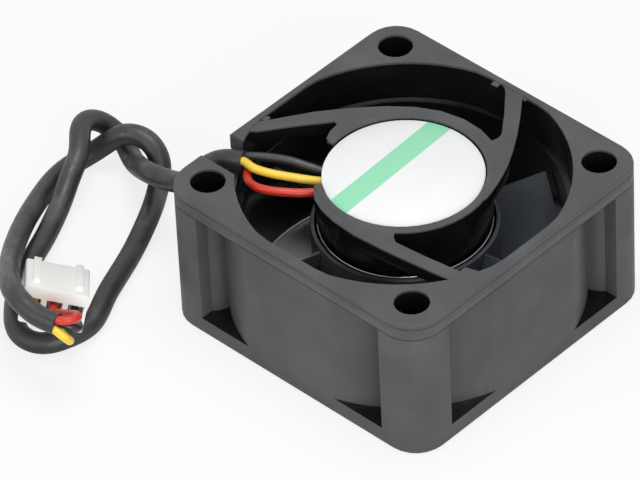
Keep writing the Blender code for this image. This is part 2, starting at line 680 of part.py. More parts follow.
def blades_tool():
    builder = bmesh.new()
    root = HUB_INNER + HUB_WALL * 0.4
    tip = DUCT_RADIUS - BLADE_TIP_CLEARANCE
    for i in range(BLADE_COUNT):
        start = BLADE_TRAILING_ANGLE + math.tau * i / BLADE_COUNT
        radii = [root + (tip - root) * k / BLADE_SPAN_STEPS for k in range(BLADE_SPAN_STEPS + 1)]
        add_loft(builder, [blade_section(radius, start) for radius in radii])
    return add_object("blades_tool", builder, None)


def make_rotor():
    """Impeller, yoke, magnet, shaft and clip, which turn together about the Z axis."""
    axis = bpy.data.objects.new("rotor_axis", None)
    bpy.context.collection.objects.link(axis)

    bore = SHAFT_RADIUS + FINE_GAP
    edge = arc((HUB_RADIUS - HUB_EDGE_RADIUS, HUB_FACE_HEIGHT + HUB_EDGE_RADIUS), HUB_EDGE_RADIUS,
               -math.pi / 2, 0.0, 4)
    cup = (
        (0.0, HUB_FACE_HEIGHT), *edge, (HUB_RADIUS, HUB_RIM_HEIGHT), (HUB_INNER, HUB_RIM_HEIGHT),
        (HUB_INNER, HUB_FACE_TOP), (BOSS_RADIUS, HUB_FACE_TOP), (BOSS_RADIUS, HUB_FACE_TOP + BOSS_LENGTH),
        (bore, HUB_FACE_TOP + BOSS_LENGTH), (bore, SHAFT_BOTTOM - GAP), (0.0, SHAFT_BOTTOM - GAP),
    )
    impeller = turned_object("impeller", cup, ROUND_HUB, "blade_plastic", parent=axis)
    combine(impeller, blades_tool(), "UNION")

    hole = BOSS_RADIUS + YOKE_HOLE_CLEARANCE
    yoke = (
        (hole, YOKE_BOTTOM), (YOKE_RADIUS, YOKE_BOTTOM), (YOKE_RADIUS, HUB_RIM_HEIGHT),
        (YOKE_RADIUS - YOKE_WALL, HUB_RIM_HEIGHT), (YOKE_RADIUS - YOKE_WALL, YOKE_BOTTOM + YOKE_WALL),
        (hole, YOKE_BOTTOM + YOKE_WALL),
    )
    turned_object("rotor_yoke", yoke, ROUND_HUB, "steel", parent=axis)
    turned_object("magnet_ring",
                  ring_profile(MAGNET_RADIUS - MAGNET_THICKNESS, MAGNET_RADIUS, 0.0, MAGNET_LENGTH),
                  ROUND_HUB, "magnet", (0, 0, MAGNET_BOTTOM), axis)

    groove = SHAFT_RADIUS - GROOVE_DEPTH
    groove_bottom = CLIP_BOTTOM - (GROOVE_WIDTH - CLIP_THICKNESS) / 2
    end = arc((SHAFT_RADIUS - 0.0004, SHAFT_TOP - 0.0004), 0.0004, 0.0, math.pi / 2, 4)
    rod = (
        (0.0, SHAFT_BOTTOM), (SHAFT_RADIUS, SHAFT_BOTTOM), (SHAFT_RADIUS, groove_bottom),
        (groove, groove_bottom), (groove, groove_bottom + GROOVE_WIDTH),
        (SHAFT_RADIUS, groove_bottom + GROOVE_WIDTH), *end, (0.0, SHAFT_TOP),
    )
    turned_object("shaft", rod, ROUND_SMALL, "steel", parent=axis)

    start = CLIP_OPENING / 2
    clip = arc((0, 0), CLIP_RADIUS, start, math.tau - start, 20)
    clip += arc((0, 0), groove + FINE_GAP, math.tau - start, start, 14)
    builder = bmesh.new()
    add_prism(builder, clip, 0.0, CLIP_THICKNESS)
    add_object("shaft_clip", builder, "steel", (0, 0, CLIP_BOTTOM), parent=axis)


def pole_outline(ring_radius, arm_width, shoe_inner, shoe_outer, shoe_span):
    """A four-pole stator outline: ring, arms and curved shoes."""
    outline = []
    half = arm_width / 2
    root = math.asin(half / ring_radius)
    neck = math.asin(half / shoe_inner)
    for pole in range(POLE_COUNT):
        middle = math.tau * pole / POLE_COUNT
        following = middle + math.tau / POLE_COUNT
        outline.append((ring_radius * math.cos(middle - root), ring_radius * math.sin(middle - root)))
        outline.append((shoe_inner * math.cos(middle - neck), shoe_inner * math.sin(middle - neck)))
        outline += arc((0, 0), shoe_inner, middle - neck - 0.10, middle - shoe_span / 2, 4)
        outline += arc((0, 0), shoe_outer, middle - shoe_span / 2, middle + shoe_span / 2, 11)
        outline += arc((0, 0), shoe_inner, middle + shoe_span / 2, middle + neck + 0.10, 4)
        outline.append((shoe_inner * math.cos(middle + neck), shoe_inner * math.sin(middle + neck)))
        outline += arc((0, 0), ring_radius, middle + root, following - root - 0.12, 5)
    return outline


def bore_tool(name, radius, bottom, top):
    builder = bmesh.new()
    add_rod(builder, radius, bottom - 0.001, top + 0.001, ROUND_SMALL)
    return add_object(name, builder, None)


def post_places():
    return [(POST_CIRCLE * math.cos(math.radians(45.0) + math.tau * i / POLE_COUNT),
             POST_CIRCLE * math.sin(math.radians(45.0) + math.tau * i / POLE_COUNT))
            for i in range(POLE_COUNT)]


def make_former(name, plate_bottom, upward):
    """A moulded coil former: plate, collar and guards, and on the upper one the board posts."""
    plate_top = plate_bottom + FORMER_THICKNESS
    shoe_inner = STATOR_RADIUS - SHOE_DEPTH
    builder = bmesh.new()
    ring = STATOR_BORE + CORE_RING - 0.0001
    add_prism(builder, pole_outline(ring, POLE_WIDTH - 0.0002, shoe_inner + 0.0001,
                                    STATOR_RADIUS - 0.0002, SHOE_SPAN - 0.06),
              plate_bottom, plate_top)
    former = add_object(name, builder, "former_plastic")

    builder = bmesh.new()
    sink = 0.0002
    if upward:
        collar_low, collar_high = plate_top - sink, plate_top + FORMER_COLLAR_HEIGHT
        guard_low, guard_high = plate_top - sink, plate_top + GUARD_HEIGHT
    else:
        collar_low, collar_high = plate_bottom - FORMER_COLLAR_HEIGHT * 0.6, plate_bottom + sink
        guard_low, guard_high = plate_bottom - GUARD_HEIGHT, plate_bottom + sink
    collar = arc((0, 0), STATOR_BORE + FORMER_COLLAR_WALL, 0.0, math.tau * (1 - 1 / ROUND_SMALL), ROUND_SMALL)
    add_prism(builder, collar, collar_low, collar_high)
    guard_inner = shoe_inner + 0.0002
    for pole in range(POLE_COUNT):
        middle = math.tau * pole / POLE_COUNT
        first, last = middle - GUARD_SPAN / 2, middle + GUARD_SPAN / 2
        guard = arc((0, 0), guard_inner + GUARD_THICKNESS, first, last, 6)
        guard += arc((0, 0), guard_inner, last, first, 6)
        add_prism(builder, guard, guard_low, guard_high)
    combine(former, add_object(f"{name}_walls_tool", builder, None), "UNION")

    if upward:
        builder = bmesh.new()
        for x, y in post_places():
            add_rod(builder, POST_RADIUS, plate_bottom + 0.0001, BOARD_BOTTOM - GAP, 12, (x, y))
        combine(former, add_object("posts_tool", builder, None), "UNION")
        builder = bmesh.new()
        for i in range(POLE_COUNT):
            web = Matrix.Rotation(math.radians(45.0) + math.tau * i / POLE_COUNT, 2)
            corners = ((STATOR_BORE + 0.0004, -0.0004), (POST_CIRCLE, -0.0004),
                       (POST_CIRCLE, 0.0004), (STATOR_BORE + 0.0004, 0.0004))
            add_prism(builder, [tuple(web @ Vector(corner)) for corner in corners],
                      plate_bottom + 0.00005, plate_top + FORMER_COLLAR_HEIGHT - 0.0003)
        combine(former, add_object("post_webs_tool", builder, None), "UNION")
        builder = bmesh.new()
        for x, y in post_places():
            add_rod(builder, PIN_RADIUS + 0.0001, BOARD_BOTTOM - GAP - PIN_SOCKET, BOARD_BOTTOM, 12, (x, y))
        combine(former, add_object("sockets_tool", builder, None), "DIFFERENCE")
    combine(former, bore_tool(f"{name}_bore_tool", STATOR_BORE, collar_low - 0.002, collar_high + 0.002),
            "DIFFERENCE")


def rounded_rectangle(half_width, half_height, radius, count=4):
    points = []
    for quarter, (x, y) in enumerate(((1, 1), (-1, 1), (-1, -1), (1, -1))):
        centre = (x * (half_width - radius), y * (half_height - radius))
        start = quarter * math.pi / 2
        points += arc(centre, radius, start, start + math.pi / 2, count)
    return points


def make_coils():
    """Four windings, each round one pole and its two formers."""
    inner_half = POLE_WIDTH / 2 + GAP + 0.00005
    middle = (FORMER_BOTTOM + FORMER_TOP) / 2
    inner_rise = (FORMER_TOP - FORMER_BOTTOM) / 2 + GAP
    outer = rounded_rectangle(inner_half + COIL_BUILD, inner_rise + COIL_BUILD, 0.0009)
    inner = rounded_rectangle(inner_half, inner_rise, 0.0001, 2)
    for pole in range(POLE_COUNT):
        turn = (0.0, 0.0, math.tau * pole / POLE_COUNT)
        stand = Matrix(((0, 0, 1), (1, 0, 0), (0, 1, 0))).to_4x4()
        builder = bmesh.new()
        add_prism(builder, outer, COIL_START, COIL_START + COIL_DEPTH)
        bmesh.ops.transform(builder, matrix=stand, verts=builder.verts)
        coil = add_object(f"coil_{pole + 1}", builder, "copper", (0, 0, middle), turn)
        builder = bmesh.new()
        add_prism(builder, inner, COIL_START - 0.001, COIL_START + COIL_DEPTH + 0.001)
        bmesh.ops.transform(builder, matrix=stand, verts=builder.verts)
        tool = add_object(f"coil_{pole + 1}_tool", builder, None, (0, 0, middle), turn)
        combine(coil, tool, "DIFFERENCE")


def make_stator():
    builder = bmesh.new()
    outline = pole_outline(STATOR_BORE + CORE_RING, POLE_WIDTH, STATOR_RADIUS - SHOE_DEPTH,
                           STATOR_RADIUS, SHOE_SPAN)
    add_prism(builder, outline, CORE_BOTTOM, CORE_TOP)
    core = add_object("stator_core", builder, "core_steel")
    combine(core, bore_tool("core_bore_tool", STATOR_BORE, CORE_BOTTOM, CORE_TOP), "DIFFERENCE")
    make_former("coil_former_upper", CORE_TOP + GAP, True)
    make_former("coil_former_lower", CORE_BOTTOM - GAP - FORMER_THICKNESS, False)
    make_coils()


def make_board():
    """The ring-shaped circuit board, its winding pins and the parts soldered under it."""
    board = turned_object("circuit_board",
                          ring_profile(TUBE_RADIUS + GAP + 0.0001, BOARD_RADIUS, 0.0, BOARD_THICKNESS),
                          ROUND_HUB, "board", (0, 0, BOARD_BOTTOM))
    builder = bmesh.new()
    for x, y in post_places():
        add_rod(builder, PIN_RADIUS + 0.0002, BOARD_BOTTOM - 0.001, BOARD_TOP + 0.001, 12, (x, y))
    combine(board, add_object("board_holes_tool", builder, None), "DIFFERENCE")

    for i, place in enumerate(post_places()):
        builder = bmesh.new()
        add_rod(builder, PIN_RADIUS, BOARD_BOTTOM - GAP - PIN_SOCKET + 0.0002, BOARD_TOP + PIN_STAND_OUT,
                8, place)
        add_object(f"winding_pin_{i + 1}", builder, "tin")

    parts = (
        ("hall_sensor", 0.0014, 0.0, (0.0016, 0.0029, 0.0009), "component"),
        ("driver_chip", 0.0028, 90.0, (0.0028, 0.0030, 0.0010), "component"),
        ("capacitor", 0.0019, 180.0, (0.0014, 0.0022, 0.0010), "ceramic"),
        ("resistor_1", 0.0019, 270.0, (0.0010, 0.0018, 0.0005), "component"),
        ("resistor_2", 0.0019, 300.0, (0.0010, 0.0018, 0.0005), "component"),
    )
    for name, inset, bearing, (deep, wide, high), finish in parts:
        radius = BOARD_RADIUS - inset
        angle = math.radians(bearing)
        builder = bmesh.new()
        add_box(builder, (-deep / 2, -wide / 2, -high), (deep / 2, wide / 2, 0.0))
        add_object(name, builder, finish,
                   (radius * math.cos(angle), radius * math.sin(angle), BOARD_BOTTOM - FINE_GAP),
                   (0.0, 0.0, angle))


def plug_matrix():
    turn = Matrix.Rotation(PLUG_HEADING, 4, "Z") @ Matrix.Rotation(PLUG_TILT, 4, "X") \
        @ Matrix.Rotation(PLUG_ROLL, 4, "Z")
    return Matrix.Translation(PLUG_PLACE) @ turn


def make_plug():
    """The plug housing with three wire cavities, latch windows and ribs, and its contacts."""
    placement = plug_matrix()
    turn = placement.to_euler()
    centres = [k * PLUG_PITCH for k in (-1, 0, 1)]

    builder = bmesh.new()
    outline = rounded_rectangle(PLUG_WIDTH / 2, PLUG_DEPTH / 2, 0.0003, 3)
    add_prism(builder, outline, -PLUG_LENGTH, 0.0)
    housing = add_object("plug_housing", builder, "nylon", PLUG_PLACE, turn)

    builder = bmesh.new()
    for x in (-PLUG_PITCH, PLUG_PITCH):
        add_box(builder, (x - PLUG_RIB_WIDTH / 2, PLUG_DEPTH / 2 - 0.0003, -PLUG_LENGTH + 0.0002),
                (x + PLUG_RIB_WIDTH / 2, PLUG_DEPTH / 2 + PLUG_RIB, -0.0012))
    combine(housing, add_object("plug_ribs_tool", builder, None, PLUG_PLACE, turn), "UNION")

    builder = bmesh.new()
    half = PLUG_CAVITY / 2
    for x in centres:
        add_box(builder, (x - half, -half, -PLUG_LENGTH - 0.001), (x + half, half, 0.001))
    combine(housing, add_object("plug_cavities_tool", builder, None, PLUG_PLACE, turn), "DIFFERENCE")

    builder = bmesh.new()
    for x in centres:
        add_box(builder, (x - PLUG_WINDOW_WIDTH / 2, -PLUG_DEPTH / 2 - 0.001,
                          -PLUG_WINDOW_DEPTH - PLUG_WINDOW_LENGTH),
                (x + PLUG_WINDOW_WIDTH / 2, -half + 0.0003, -PLUG_WINDOW_DEPTH))
    combine(housing, add_object("plug_windows_tool", builder, None, PLUG_PLACE, turn), "DIFFERENCE")

    for k, x in enumerate(centres):
        builder = bmesh.new()
        reach = CONTACT_WIDTH / 2
        add_box(builder, (x - reach, -reach, -CONTACT_INSET - CONTACT_LENGTH), (x + reach, reach, -CONTACT_INSET))
        contact = add_object(f"plug_contact_{k + 1}", builder, "tin", PLUG_PLACE, turn)
        builder = bmesh.new()
        add_box(builder, (x - reach + 0.00025, -reach + 0.00025, -CONTACT_INSET - CONTACT_LENGTH - 0.001),
                (x + reach - 0.00025, reach - 0.00025, -CONTACT_INSET - CONTACT_LENGTH * 0.45))
        tool = add_object(f"plug_contact_{k + 1}_tool", builder, None, PLUG_PLACE, turn)
        combine(contact, tool, "DIFFERENCE")


def strand_start(end, direction, turn):
    """Where a strand leaves the end of the sleeve, beside its two neighbours."""
    direction = direction.normalized()
    across = Vector((0, 0, 1)).cross(direction).normalized()
    upward = direction.cross(across)
    offset = STRAND_SPACING / math.sqrt(3)
    return end + direction * (GAP + 0.0001) + offset * (math.cos(turn) * across + math.sin(turn) * upward)


def lead_place(out, along, height):
    return Vector((-HALF_SIDE - out, NOTCH_CENTRE_Y + along, height))


def make_lead():
    """The sleeve and, at each end of it, the three strands that come out."""
    route = [lead_place(out, along, FRAME_DEPTH - drop) for out, along, drop in SLEEVE_EXIT]
    route += [lead_place(*point) for point in SLEEVE_ROUTE]
    tube_object("cable_sleeve", smooth_through(route, SLEEVE_STEPS), SLEEVE_RADIUS, "sleeve")

    placement = plug_matrix()
    landing_radius = BOARD_RADIUS - LANDING_INSET
    landing_height = BOARD_TOP + GAP + STRAND_RADIUS
    for colour in ("black", "red", "yellow"):
        start = strand_start(route[0], route[0] - route[1], INNER_TURN[colour])
        angle = BOARD_LANDING[colour]
        landing = Vector((landing_radius * math.cos(angle), landing_radius * math.sin(angle), landing_height))
        inner = [Vector((*strut_point(share, turn), FRAME_DEPTH - drop))
                 for share, turn, drop in INNER_ROUTES[colour]]
        points = [start, *inner, landing]
        tube_object(f"lead_{colour}_inner", smooth_through(points, 2), STRAND_RADIUS, colour)

        start = strand_start(route[-1], route[-1] - route[-2], OUTER_TURN[colour])
        across = PLUG_POSITION[colour] * PLUG_PITCH
        above = placement @ Vector((across, 0.0, 0.0009))
        inside = placement @ Vector((across, 0.0, -CONTACT_INSET + GAP))
        mouth = placement @ Vector((across, 0.0, -0.0004))
        points = [start, *[lead_place(*point) for point in OUTER_ROUTES[colour]], above, mouth, inside]
        tube_object(f"lead_{colour}_outer", smooth_through(points, 2), STRAND_RADIUS, colour)


def main():
    clear_scene()
    make_frame()
    make_label()
    make_bearing()
    make_rotor()
    make_stator()
    make_board()
    make_plug()
    make_lead()


main()
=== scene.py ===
"""Axial cooling fan with a sleeved three-wire lead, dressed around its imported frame.

Sizes are in metres and angles in degrees unless a name or docstring says otherwise.  The origin is
the bottom centre of the square frame, +Z is the motor side, and the rotor turns about the Z axis.
"""
import logging
import math
from dataclasses import dataclass
from enum import Enum
from functools import cache
from typing import Iterable, Sequence

import bmesh
import bpy
from mathutils import Matrix, Vector


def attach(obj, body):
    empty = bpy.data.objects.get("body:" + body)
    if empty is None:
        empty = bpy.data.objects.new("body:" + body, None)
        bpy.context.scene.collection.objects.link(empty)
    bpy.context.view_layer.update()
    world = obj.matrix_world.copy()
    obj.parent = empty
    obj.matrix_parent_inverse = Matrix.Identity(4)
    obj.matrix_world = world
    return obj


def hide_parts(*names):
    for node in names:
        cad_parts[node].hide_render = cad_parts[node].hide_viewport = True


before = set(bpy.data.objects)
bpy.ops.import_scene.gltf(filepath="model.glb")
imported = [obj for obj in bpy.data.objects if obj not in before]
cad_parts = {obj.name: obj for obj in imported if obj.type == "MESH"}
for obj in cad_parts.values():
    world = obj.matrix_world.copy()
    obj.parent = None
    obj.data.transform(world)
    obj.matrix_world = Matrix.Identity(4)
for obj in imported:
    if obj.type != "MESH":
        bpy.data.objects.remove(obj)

log = logging.getLogger("axial_fan")

Triple = tuple[float, float, float]
Colour = tuple[float, float, float]
Builder = bmesh.types.BMesh
Item = bpy.types.Object
Material = bpy.types.Material
Mesh = bpy.types.Mesh
Node = bpy.types.Node
NodeTree = bpy.types.NodeTree
Socket = bpy.types.NodeSocket

MM = 0.001
HALF_SIDE = 20.0 * MM
FRAME_DEPTH = 20.0 * MM
HOLE_OFFSET = 16.0 * MM
NOTCH_CENTRE_Y = -HOLE_OFFSET * 2 / 3
HUB_RIM_HEIGHT = 12.8 * MM
MERGE = 1e-6
HUB_STEPS = 96
ROUND_STEPS = 6
FLAT_ANGLE = 0.6
UP = Vector((0, 0, 1))
WHITE = (1.0, 1.0, 1.0)


class Body(Enum):
    """The two bodies of the fan."""

    FRAME = "fan_frame"
    ROTOR = "fan_rotor"


class Wire(Enum):
    """The three wires of the lead."""

    BLACK = "black"
    RED = "red"
    YELLOW = "yellow"


class ShaderTree:
    """Adds nodes to one node tree and joins them."""

    def __init__(self, tree: NodeTree) -> None:
        """Keep the tree that the nodes go into."""
        self.tree = tree

    def add(self, kind: str, **inputs: object) -> Node:
        """Add a node and set or link its inputs.

        Args:
            kind: The node's type name.
            inputs: Values or output sockets, by socket name with underscores for spaces.

        Returns:
            The new node.
        """
        return self.fill(self.tree.nodes.new(kind), inputs)

    def group(self, group: NodeTree, **inputs: object) -> Sequence[Socket]:
        """Add a node group with its inputs and return its output sockets."""
        node = self.tree.nodes.new("ShaderNodeGroup")
        node.node_tree = group
        return self.fill(node, inputs).outputs

    def fill(self, node: Node, inputs: dict[str, object]) -> Node:
        """Set or link a node's inputs."""
        for name, value in inputs.items():
            self.put(node, name.replace("_", " "), value)
        return node

    def put(self, node: Node, socket: str | int, value: object) -> None:
        """Set an input socket to a value, or link an output socket to it."""
        if isinstance(value, Socket):
            self.tree.links.new(value, node.inputs[socket])
        else:
            node.inputs[socket].default_value = value

    def math(self, operation: str, first: object, second: object = 0.0,
             clamp: bool = False) -> Socket:
        """Add a Math node and return its result socket."""
        node = self.tree.nodes.new("ShaderNodeMath")
        node.operation = operation
        node.use_clamp = clamp
        self.put(node, 0, first)
        self.put(node, 1, second)
        return node.outputs[0]

    def times(self, first: object, *others: object) -> Socket:
        """Multiply values."""
        for other in others:
            first = self.math("MULTIPLY", first, other)
        return first

    def plus(self, first: object, second: object, clamp: bool = False) -> Socket:
        """Add two values."""
        return self.math("ADD", first, second, clamp)

    def absolute(self, value: object) -> Socket:
        """A value without its sign."""
        return self.math("ABSOLUTE", value)

    def distance(self, x: object, y: object) -> Socket:
        """The distance from x = y = 0."""
        return self.math("SQRT", self.plus(self.times(x, x), self.times(y, y)))

    def axes(self, vector: object) -> list[Socket]:
        """The three parts of a vector."""
        node = self.add("ShaderNodeSeparateXYZ", Vector=vector)
        return [node.outputs[axis] for axis in "XYZ"]

    def place(self) -> Socket:
        """The object's own coordinates."""
        return self.add("ShaderNodeTexCoord").outputs["Object"]

    def upward(self) -> Socket:
        """How far a face looks up, from -1 to 1."""
        return self.axes(self.add("ShaderNodeNewGeometry").outputs["Normal"])[2]

    def spread(self, value: object, low: float, high: float, to_low: float = 0.0,
               to_high: float = 1.0) -> Socket:
        """Map a value smoothly from one range to another, clamped."""
        node = self.tree.nodes.new("ShaderNodeMapRange")
        node.interpolation_type = "SMOOTHSTEP"
        for socket, item in enumerate((value, low, high, to_low, to_high)):
            self.put(node, socket, item)
        return node.outputs["Result"]

    def fade(self, value: object, low: float, high: float) -> Socket:
        """One below the range and nothing above it."""
        return self.spread(value, low, high, 1.0, 0.0)

    def mix(self, factor: object, first: object, second: object) -> Socket:
        """Mix two colours and return the result socket."""
        node = self.tree.nodes.new("ShaderNodeMix")
        node.data_type = "RGBA"
        for socket, item in ((0, factor), (6, opaque(first)), (7, opaque(second))):
            self.put(node, socket, item)
        return node.outputs[2]

    def noise(self, vector: object, scale: object, detail: float = 3.0,
              roughness: float = 0.5) -> Socket:
        """Add a noise texture and return its value socket."""
        node = self.add(
            "ShaderNodeTexNoise", Vector=vector, Scale=scale, Detail=detail, Roughness=roughness)
        return node.outputs["Fac"]


def opaque(colour: object) -> object:
    """Give a plain three-part colour its alpha, and pass a socket on."""
    return (*colour, 1.0) if isinstance(colour, tuple) and len(colour) == 3 else colour


def emptied(owner: Material | bpy.types.World) -> ShaderTree:
    """Clear a material's or a world's nodes and return its tree."""
    owner.use_nodes = True
    owner.node_tree.nodes.clear()
    return ShaderTree(owner.node_tree)


def new_group(name: str, numbers: Sequence[str],
              outputs: Sequence[str]) -> tuple[ShaderTree, Sequence[Socket], Node]:
    """Make a shader node group with named sockets.

    Args:
        name: The group's name.
        numbers: Names of the number inputs, which follow the input "Vector".
        outputs: Names of the number outputs.

    Returns:
        The group's tree, its input's sockets and its output node.
    """
    group = bpy.data.node_groups.new(name, "ShaderNodeTree")
    group.interface.new_socket("Vector", in_out="INPUT", socket_type="NodeSocketVector")
    for direction, labels in (("INPUT", numbers), ("OUTPUT", outputs)):
        for label in labels:
            group.interface.new_socket(label, in_out=direction, socket_type="NodeSocketFloat")
    tree = ShaderTree(group)
    return tree, tree.add("NodeGroupInput").outputs, tree.add("NodeGroupOutput")


class Effects:
    """The node groups that the materials share, each made on its first use."""

    @staticmethod
    @cache
    def grain() -> NodeTree:
        """Fine surface grain, and slow drift of tone and gloss."""
        tree, given, end = new_group(
            "surface_grain", ("Grain", "Drift"), ("Height", "Tone", "Gloss"))
        vector, grain, drift = given["Vector"], given["Grain"], given["Drift"]
        fine = tree.noise(vector, grain, detail=4.0, roughness=0.6)
        cells = tree.add("ShaderNodeTexVoronoi", Vector=vector, Scale=grain).outputs["Distance"]
        slow = tree.noise(vector, drift, detail=4.0, roughness=0.55)
        patch = tree.noise(vector, tree.times(drift, 3.7), detail=5.0, roughness=0.6)
        tree.put(end, "Height", tree.plus(tree.times(fine, 0.7), tree.times(cells, 0.3)))
        tree.put(end, "Tone", tree.spread(slow, 0.32, 0.68))
        tree.put(end, "Gloss", tree.spread(patch, 0.30, 0.70))
        return tree.tree

    @staticmethod
    @cache
    def dust() -> NodeTree:
        """Fine dust specks and a faint film, more on faces that look up."""
        tree, given, end = new_group("settled_dust", ("Amount",), ("Mask",))
        vector = given["Vector"]
        specks = tree.add("ShaderNodeTexVoronoi", Vector=vector, Scale=900.0).outputs["Distance"]
        chosen = tree.spread(tree.noise(vector, 420.0, detail=2.0), 0.60, 0.70)
        film = tree.noise(vector, 150.0, detail=5.0, roughness=0.65)
        both = tree.plus(tree.times(tree.fade(specks, 0.05, 0.16), chosen),
                         tree.spread(film, 0.45, 0.80, 0.0, 0.35), clamp=True)
        lying = tree.spread(tree.upward(), 0.1, 0.9, 0.25, 1.0)
        tree.put(end, "Mask", tree.times(both, lying, given["Amount"]))
        return tree.tree

    @staticmethod
    @cache
    def scuffs() -> NodeTree:
        """Thin handling marks that change the gloss."""
        tree, given, end = new_group("handling_scuffs", ("Amount",), ("Mask",))
        vector = given["Vector"]
        stretch = tree.add("ShaderNodeMapping", Vector=vector, Rotation=(0.0, 0.0, 0.6),
                           Scale=(1.0, 9.0, 1.0)).outputs["Vector"]
        lines = tree.noise(stretch, 260.0, detail=6.0, roughness=0.7)
        patches = tree.spread(tree.noise(vector, 120.0, detail=2.0), 0.50, 0.66)
        marks = tree.times(tree.spread(lines, 0.60, 0.72), patches)
        tree.put(end, "Mask", tree.times(marks, given["Amount"]))
        return tree.tree


@dataclass
class Parts:
    """The sockets that a finish may change before they reach its shader."""

    vector: Socket
    colour: Socket
    roughness: Socket
    height: Socket

    def roughen(self, tree: ShaderTree, mask: Socket, amount: float) -> None:
        """Take gloss away where the mask is."""
        self.roughness = tree.plus(self.roughness, tree.times(mask, amount), clamp=True)


@dataclass(frozen=True)
class Finish:
    """One surface finish: two tones that it drifts between, its gloss, grain and wear."""

    name: str
    colour: Colour
    shade: Colour
    roughness: float = 0.45
    gloss_drift: float = 0.06
    metallic: float = 0.0
    specular: float = 0.5
    coat: float = 0.0
    scatter: float = 0.0
    scatter_depth: float = 0.6 * MM
    grain_size: float = 0.16 * MM
    grain_depth: float = 0.006 * MM
    drift_size: float = 7.0 * MM
    bump_strength: float = 0.6
    scuffs: float = 0.0
    scuff_roughness: float = 0.25
    dust: float = 0.0
    dust_roughness: float = 0.3
    dust_colour: Colour = (0.42, 0.41, 0.39)

    @cache
    def build(self) -> Material:
        """Make the material, or return the one made before."""
        material = bpy.data.materials.new(self.name)
        tree = emptied(material)
        parts = self.surface(tree)
        self.detail(tree, parts)
        self.wear(tree, parts)
        bump = tree.add("ShaderNodeBump", Strength=self.bump_strength, Distance=self.grain_depth,
                        Height=parts.height)
        shader = tree.add(
            "ShaderNodeBsdfPrincipled", Base_Color=parts.colour, Roughness=parts.roughness,
            Normal=bump.outputs["Normal"], Metallic=self.metallic, Coat_Weight=self.coat,
            Specular_IOR_Level=self.specular, Subsurface_Weight=self.scatter,
            Subsurface_Radius=(1.0, 0.9, 0.7), Subsurface_Scale=self.scatter_depth)
        tree.add("ShaderNodeOutputMaterial", Surface=shader.outputs["BSDF"])
        return material

    def surface(self, tree: ShaderTree) -> Parts:
        """The plain surface: its two tones, gloss and grain."""
        vector = tree.place()
        grain = tree.group(Effects.grain(), Vector=vector, Grain=1.0 / self.grain_size,
                           Drift=1.0 / self.drift_size)
        low, high = self.roughness - self.gloss_drift, self.roughness + self.gloss_drift
        return Parts(vector, tree.mix(grain["Tone"], self.shade, self.colour),
                     tree.spread(grain["Gloss"], 0.0, 1.0, low, high), grain["Height"])

    def detail(self, tree: ShaderTree, parts: Parts) -> None:
        """What one finish has and the others don't."""

    def wear(self, tree: ShaderTree, parts: Parts) -> None:
        """Scuffs and settled dust over the finish."""
        if self.scuffs:
            marks = tree.group(Effects.scuffs(), Vector=parts.vector, Amount=self.scuffs)
            parts.roughen(tree, marks["Mask"], self.scuff_roughness)
        if self.dust:
            mask = tree.group(Effects.dust(), Vector=parts.vector, Amount=self.dust)["Mask"]
            parts.colour = tree.mix(mask, parts.colour, self.dust_colour)
            parts.roughen(tree, mask, self.dust_roughness)


@dataclass(frozen=True)
class HousingFinish(Finish):
    """Satin outside; glossier inside the duct and under the motor base, where painted shade darkens
    it. Painted shade also darkens the screw holes, the side pocket floors and the mould lines.
    """

    # Painted shade colour: the near black drawn into the duct, the holes, the pocket floors and the
    # mould lines.
    painted_shade_colour: Colour = (0.006, 0.007, 0.007)
    bore_roughness: float = 0.18
    bore_radius: float = 19.66 * MM
    bore_top: float = 19.75 * MM
    hole_radius: float = 2.13 * MM
    edge: float = 0.1 * MM
    top_edge: float = 0.15 * MM
    # Heights of the mould lines, where painted shade is drawn on the outer faces.
    lines: tuple[float, ...] = (17.66 * MM, 19.25 * MM)
    line_half: float = 0.03 * MM
    line_reach: float = 18.8 * MM
    crease_shade_strength: float = 0.7
    pocket_top: float = 5.0 * MM

    def detail(self, tree: ShaderTree, parts: Parts) -> None:
        """Paint shade into the duct, the screw holes, the floors of the side pockets and the mould
        lines, and gloss all of them except the lines.
        """
        x, y, z = tree.axes(parts.vector)
        sides = [tree.absolute(side) for side in (x, y)]
        across = [tree.math("SUBTRACT", side, HOLE_OFFSET) for side in sides]
        rounds = (((x, y), self.bore_radius), (across, self.hole_radius))
        inside = tree.math("MAXIMUM", *(tree.fade(tree.distance(*place), radius, radius + self.edge)
                                        for place, radius in rounds))
        below = tree.fade(z, self.bore_top - self.top_edge, self.bore_top)
        # Painted shade on the floors of the side pockets, which are the upward faces low on the
        # frame.
        painted_shade_floors = tree.times(tree.spread(tree.upward(), 0.3, 0.7),
                            tree.fade(z, self.pocket_top - self.edge, self.pocket_top))
        # Mask for the painted shade in the duct, the holes and on the pocket floors. The same mask
        # also gives these places their real gloss.
        bore = tree.math("MAXIMUM", tree.times(inside, below), painted_shade_floors)
        outside = tree.spread(tree.math("MAXIMUM", *sides), self.line_reach,
                              self.line_reach + 2 * self.edge, 0.0, self.crease_shade_strength)
        # Painted shade in the grooves of the mould lines, on the outer faces only.
        for height in self.lines:
            away = tree.absolute(tree.math("SUBTRACT", z, height))
            painted_crease_shade = tree.times(tree.fade(away, self.line_half, self.edge), outside)
            parts.colour = tree.mix(painted_crease_shade, parts.colour, self.painted_shade_colour)
        # Painted shade in the duct, the holes and on the pocket floors.
        parts.colour = tree.mix(bore, parts.colour, self.painted_shade_colour)
        drop = tree.times(bore, self.roughness - self.bore_roughness)
        parts.roughness = tree.math("SUBTRACT", parts.roughness, drop, clamp=True)


